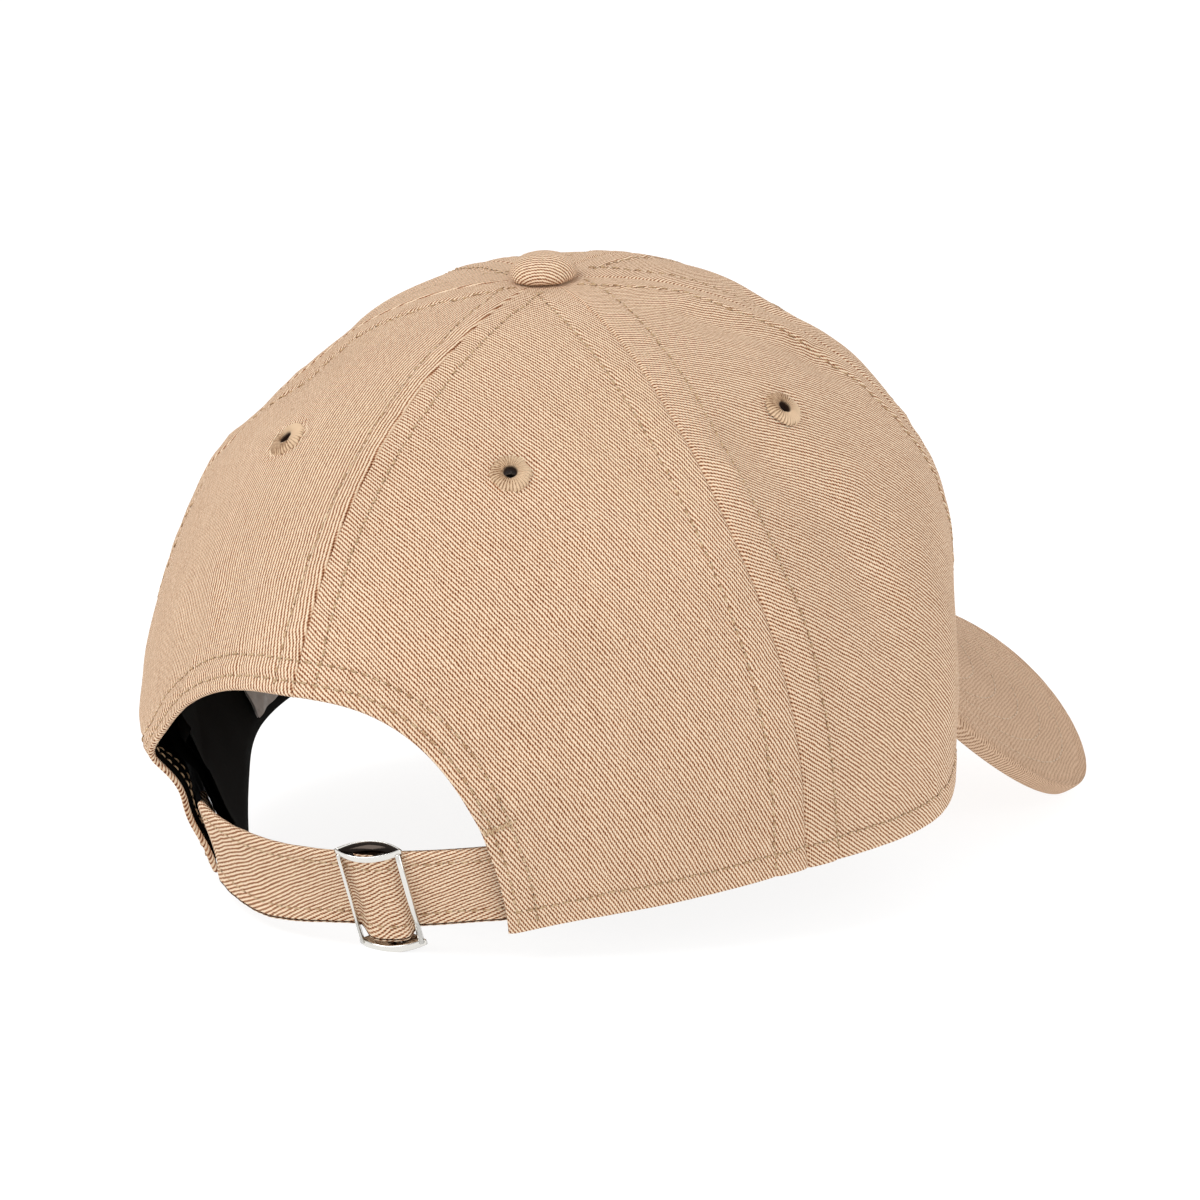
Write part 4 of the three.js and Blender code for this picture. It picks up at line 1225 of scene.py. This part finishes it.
# An end plate is a pointed oval with a rounded rim, and a dish of its own inside that rim.
PLATE = [(0.02, 11.65), (0.8, 11.65), (0.94, 11.7), (1.0, 11.9), (1.02, 12.5), (1.01, 13.1)]
PLATE += [(0.98, 13.35), (0.95, 13.3), (0.93, 13.0)]
DISH = [(0.95, 13.1), (0.9, 12.8), (0.75, 12.5), (0.5, 12.25), (0.25, 12.12), (0.02, 12.1)]


def lens_part(profile, side):
    rows = np.array([lens_ring(scale, y) for scale, y in profile])
    rows[..., 1] *= side
    return grid_part(rows, closed=True, flip=side < 0)


def bar_part(x, z, half_wide, half_deep, length, power=2.6):
    turn = full_turn(24)
    c, s = np.cos(turn), np.sin(turn)
    wide = np.sign(c) * np.abs(c) ** (2 / power) * half_wide
    deep = np.sign(s) * np.abs(s) ** (2 / power) * half_deep
    stops = np.array([-length, -length + 0.05, length - 0.05, length])
    sizes = np.array([0.02, 1, 1, 0.02])
    ring = np.stack([wide, 0 * wide, deep], -1)
    rows = ring[None] * sizes[:, None, None] + np.array([x, 0, z])
    rows[..., 1] += stops[:, None]
    return grid_part(rows, closed=True, flip=True)


frame_parts = [lens_part(PLATE, side) for side in (1, -1)]
frame_parts += [bar_part(x, 1.35, wide, 0.65, 12.3) for x, wide in ((-6.4, 0.4), (6.3, 0.6))]
# The dishes take the darkened nickel, a painted dark reflection.
dishes = [lens_part(DISH, side) for side in (1, -1)]
centre_bar = [bar_part(0, -1.5, 0.9, 0.9, 11.1, 2.0)]
for name, parts, look, body, gone in (
    ("buckle_frame_polished", frame_parts, nickel, "buckle_frame", ["buckle_frame"]),
    ("buckle_dishes", dishes, painted_reflection_nickel, "buckle_frame", []),
    ("buckle_bar_polished", centre_bar, nickel, "buckle_bar", ["buckle_bar"]),
):
    build(name, parts, look, body, gone, space=buckle_space)

# ---- Materials of the CAD nodes that stay

for node, look in (
    ("button_shell", steel),
    ("button_rivet", steel),
    ("button_back_plate", steel),
    ("brim_board", board),
):
    solid = frame["nodes"][node]
    solid.data.materials.clear()
    solid.data.materials.append(look)

# ---- Floor, light and camera

FLOOR_HEIGHT = -0.002       # just under the buckle as it is drawn
floor_look = Graph("floor")
greys = [(0.3, (0.2, 0.2, 0.2)), (0.7, (0.22, 0.22, 0.22))]
pale = floor_look.ramp(floor_look.noise(floor_look.place(), 2.0, 2), greys)
floor_material = floor_look.finish(pale, 0.9, specular=0.1)
floor_look.shader.inputs["Emission Color"].default_value = (1, 1, 1, 1)
floor_look.shader.inputs["Emission Strength"].default_value = 0.88
floor_mesh = bpy.data.meshes.new("floor")
corners = [(x, y, FLOOR_HEIGHT) for x, y in ((-9, -9), (9, -9), (9, 9), (-9, 9))]
floor_mesh.from_pydata(corners, [], [(0, 1, 2, 3)])
floor_mesh.materials.append(floor_material)
floor = bpy.data.objects.new("floor", floor_mesh)
bpy.context.scene.collection.objects.link(floor)

world = bpy.data.worlds.new("studio")
world.use_nodes = True
sky = world.node_tree
way = sky.nodes.new("ShaderNodeTexCoord")
height = sky.nodes.new("ShaderNodeSeparateXYZ")
tone = sky.nodes.new("ShaderNodeValToRGB")
sky.links.new(way.outputs["Generated"], height.inputs[0])
sky.links.new(height.outputs[2], tone.inputs[0])
tone.color_ramp.elements[0].position = 0.12
tone.color_ramp.elements[0].color = (1, 1, 1, 1)
tone.color_ramp.elements[1].position = 0.75
tone.color_ramp.elements[1].color = (0.56, 0.56, 0.56, 1)
sky.links.new(tone.outputs[0], sky.nodes["Background"].inputs["Color"])
bpy.context.scene.world = world

CAP_MIDDLE = Vector((0, 0, 0.06))


def soft_light(name, place, size, power):
    lamp = bpy.data.lights.new(name, "AREA")
    lamp.shape = "RECTANGLE"
    lamp.size = lamp.size_y = size
    lamp.energy = power
    holder = bpy.data.objects.new(name, lamp)
    holder.location = place
    holder.rotation_euler = (CAP_MIDDLE - Vector(place)).to_track_quat("-Z", "Y").to_euler()
    bpy.context.scene.collection.objects.link(holder)


soft_light("key", (0.35, 0.95, 1.2), 0.8, 10.5)
soft_light("side_fill", (-1.5, 0.3, 0.9), 1.0, 5)
soft_light("front_fill", (0.2, -1.4, 1.0), 1.0, 4.5)

scene = bpy.context.scene
scene.view_settings.view_transform = "Standard"
scene.view_settings.look = "None"

CAMERA_AZIMUTH = -148.21
CAMERA_ELEVATION = 12.37
CAMERA_ROLL = 1.88
CAMERA_TARGET = Vector((-0.0007, 0.0088, 0.0517))
CAMERA_DISTANCE = 1.2
CAMERA_LENS = 162.4

azimuth, elevation = CAMERA_AZIMUTH * DEG, CAMERA_ELEVATION * DEG
level_right = Vector((math.cos(azimuth), math.sin(azimuth), 0))
level_ahead = Vector((-math.sin(azimuth), math.cos(azimuth), 0))
ahead = level_ahead * math.cos(elevation) - Vector((0, 0, math.sin(elevation)))
level_up = level_right.cross(ahead)
roll = CAMERA_ROLL * DEG
right = level_right * math.cos(roll) + level_up * math.sin(roll)
up = level_up * math.cos(roll) - level_right * math.sin(roll)
lens = bpy.data.cameras.new("camera")
lens.lens = CAMERA_LENS
lens.sensor_width = 36
camera = bpy.data.objects.new("camera", lens)
axes = Matrix((right, up, -ahead)).transposed()
camera.matrix_world = Matrix.Translation(CAMERA_TARGET - ahead * CAMERA_DISTANCE) @ axes.to_4x4()
scene.collection.objects.link(camera)
scene.camera = camera
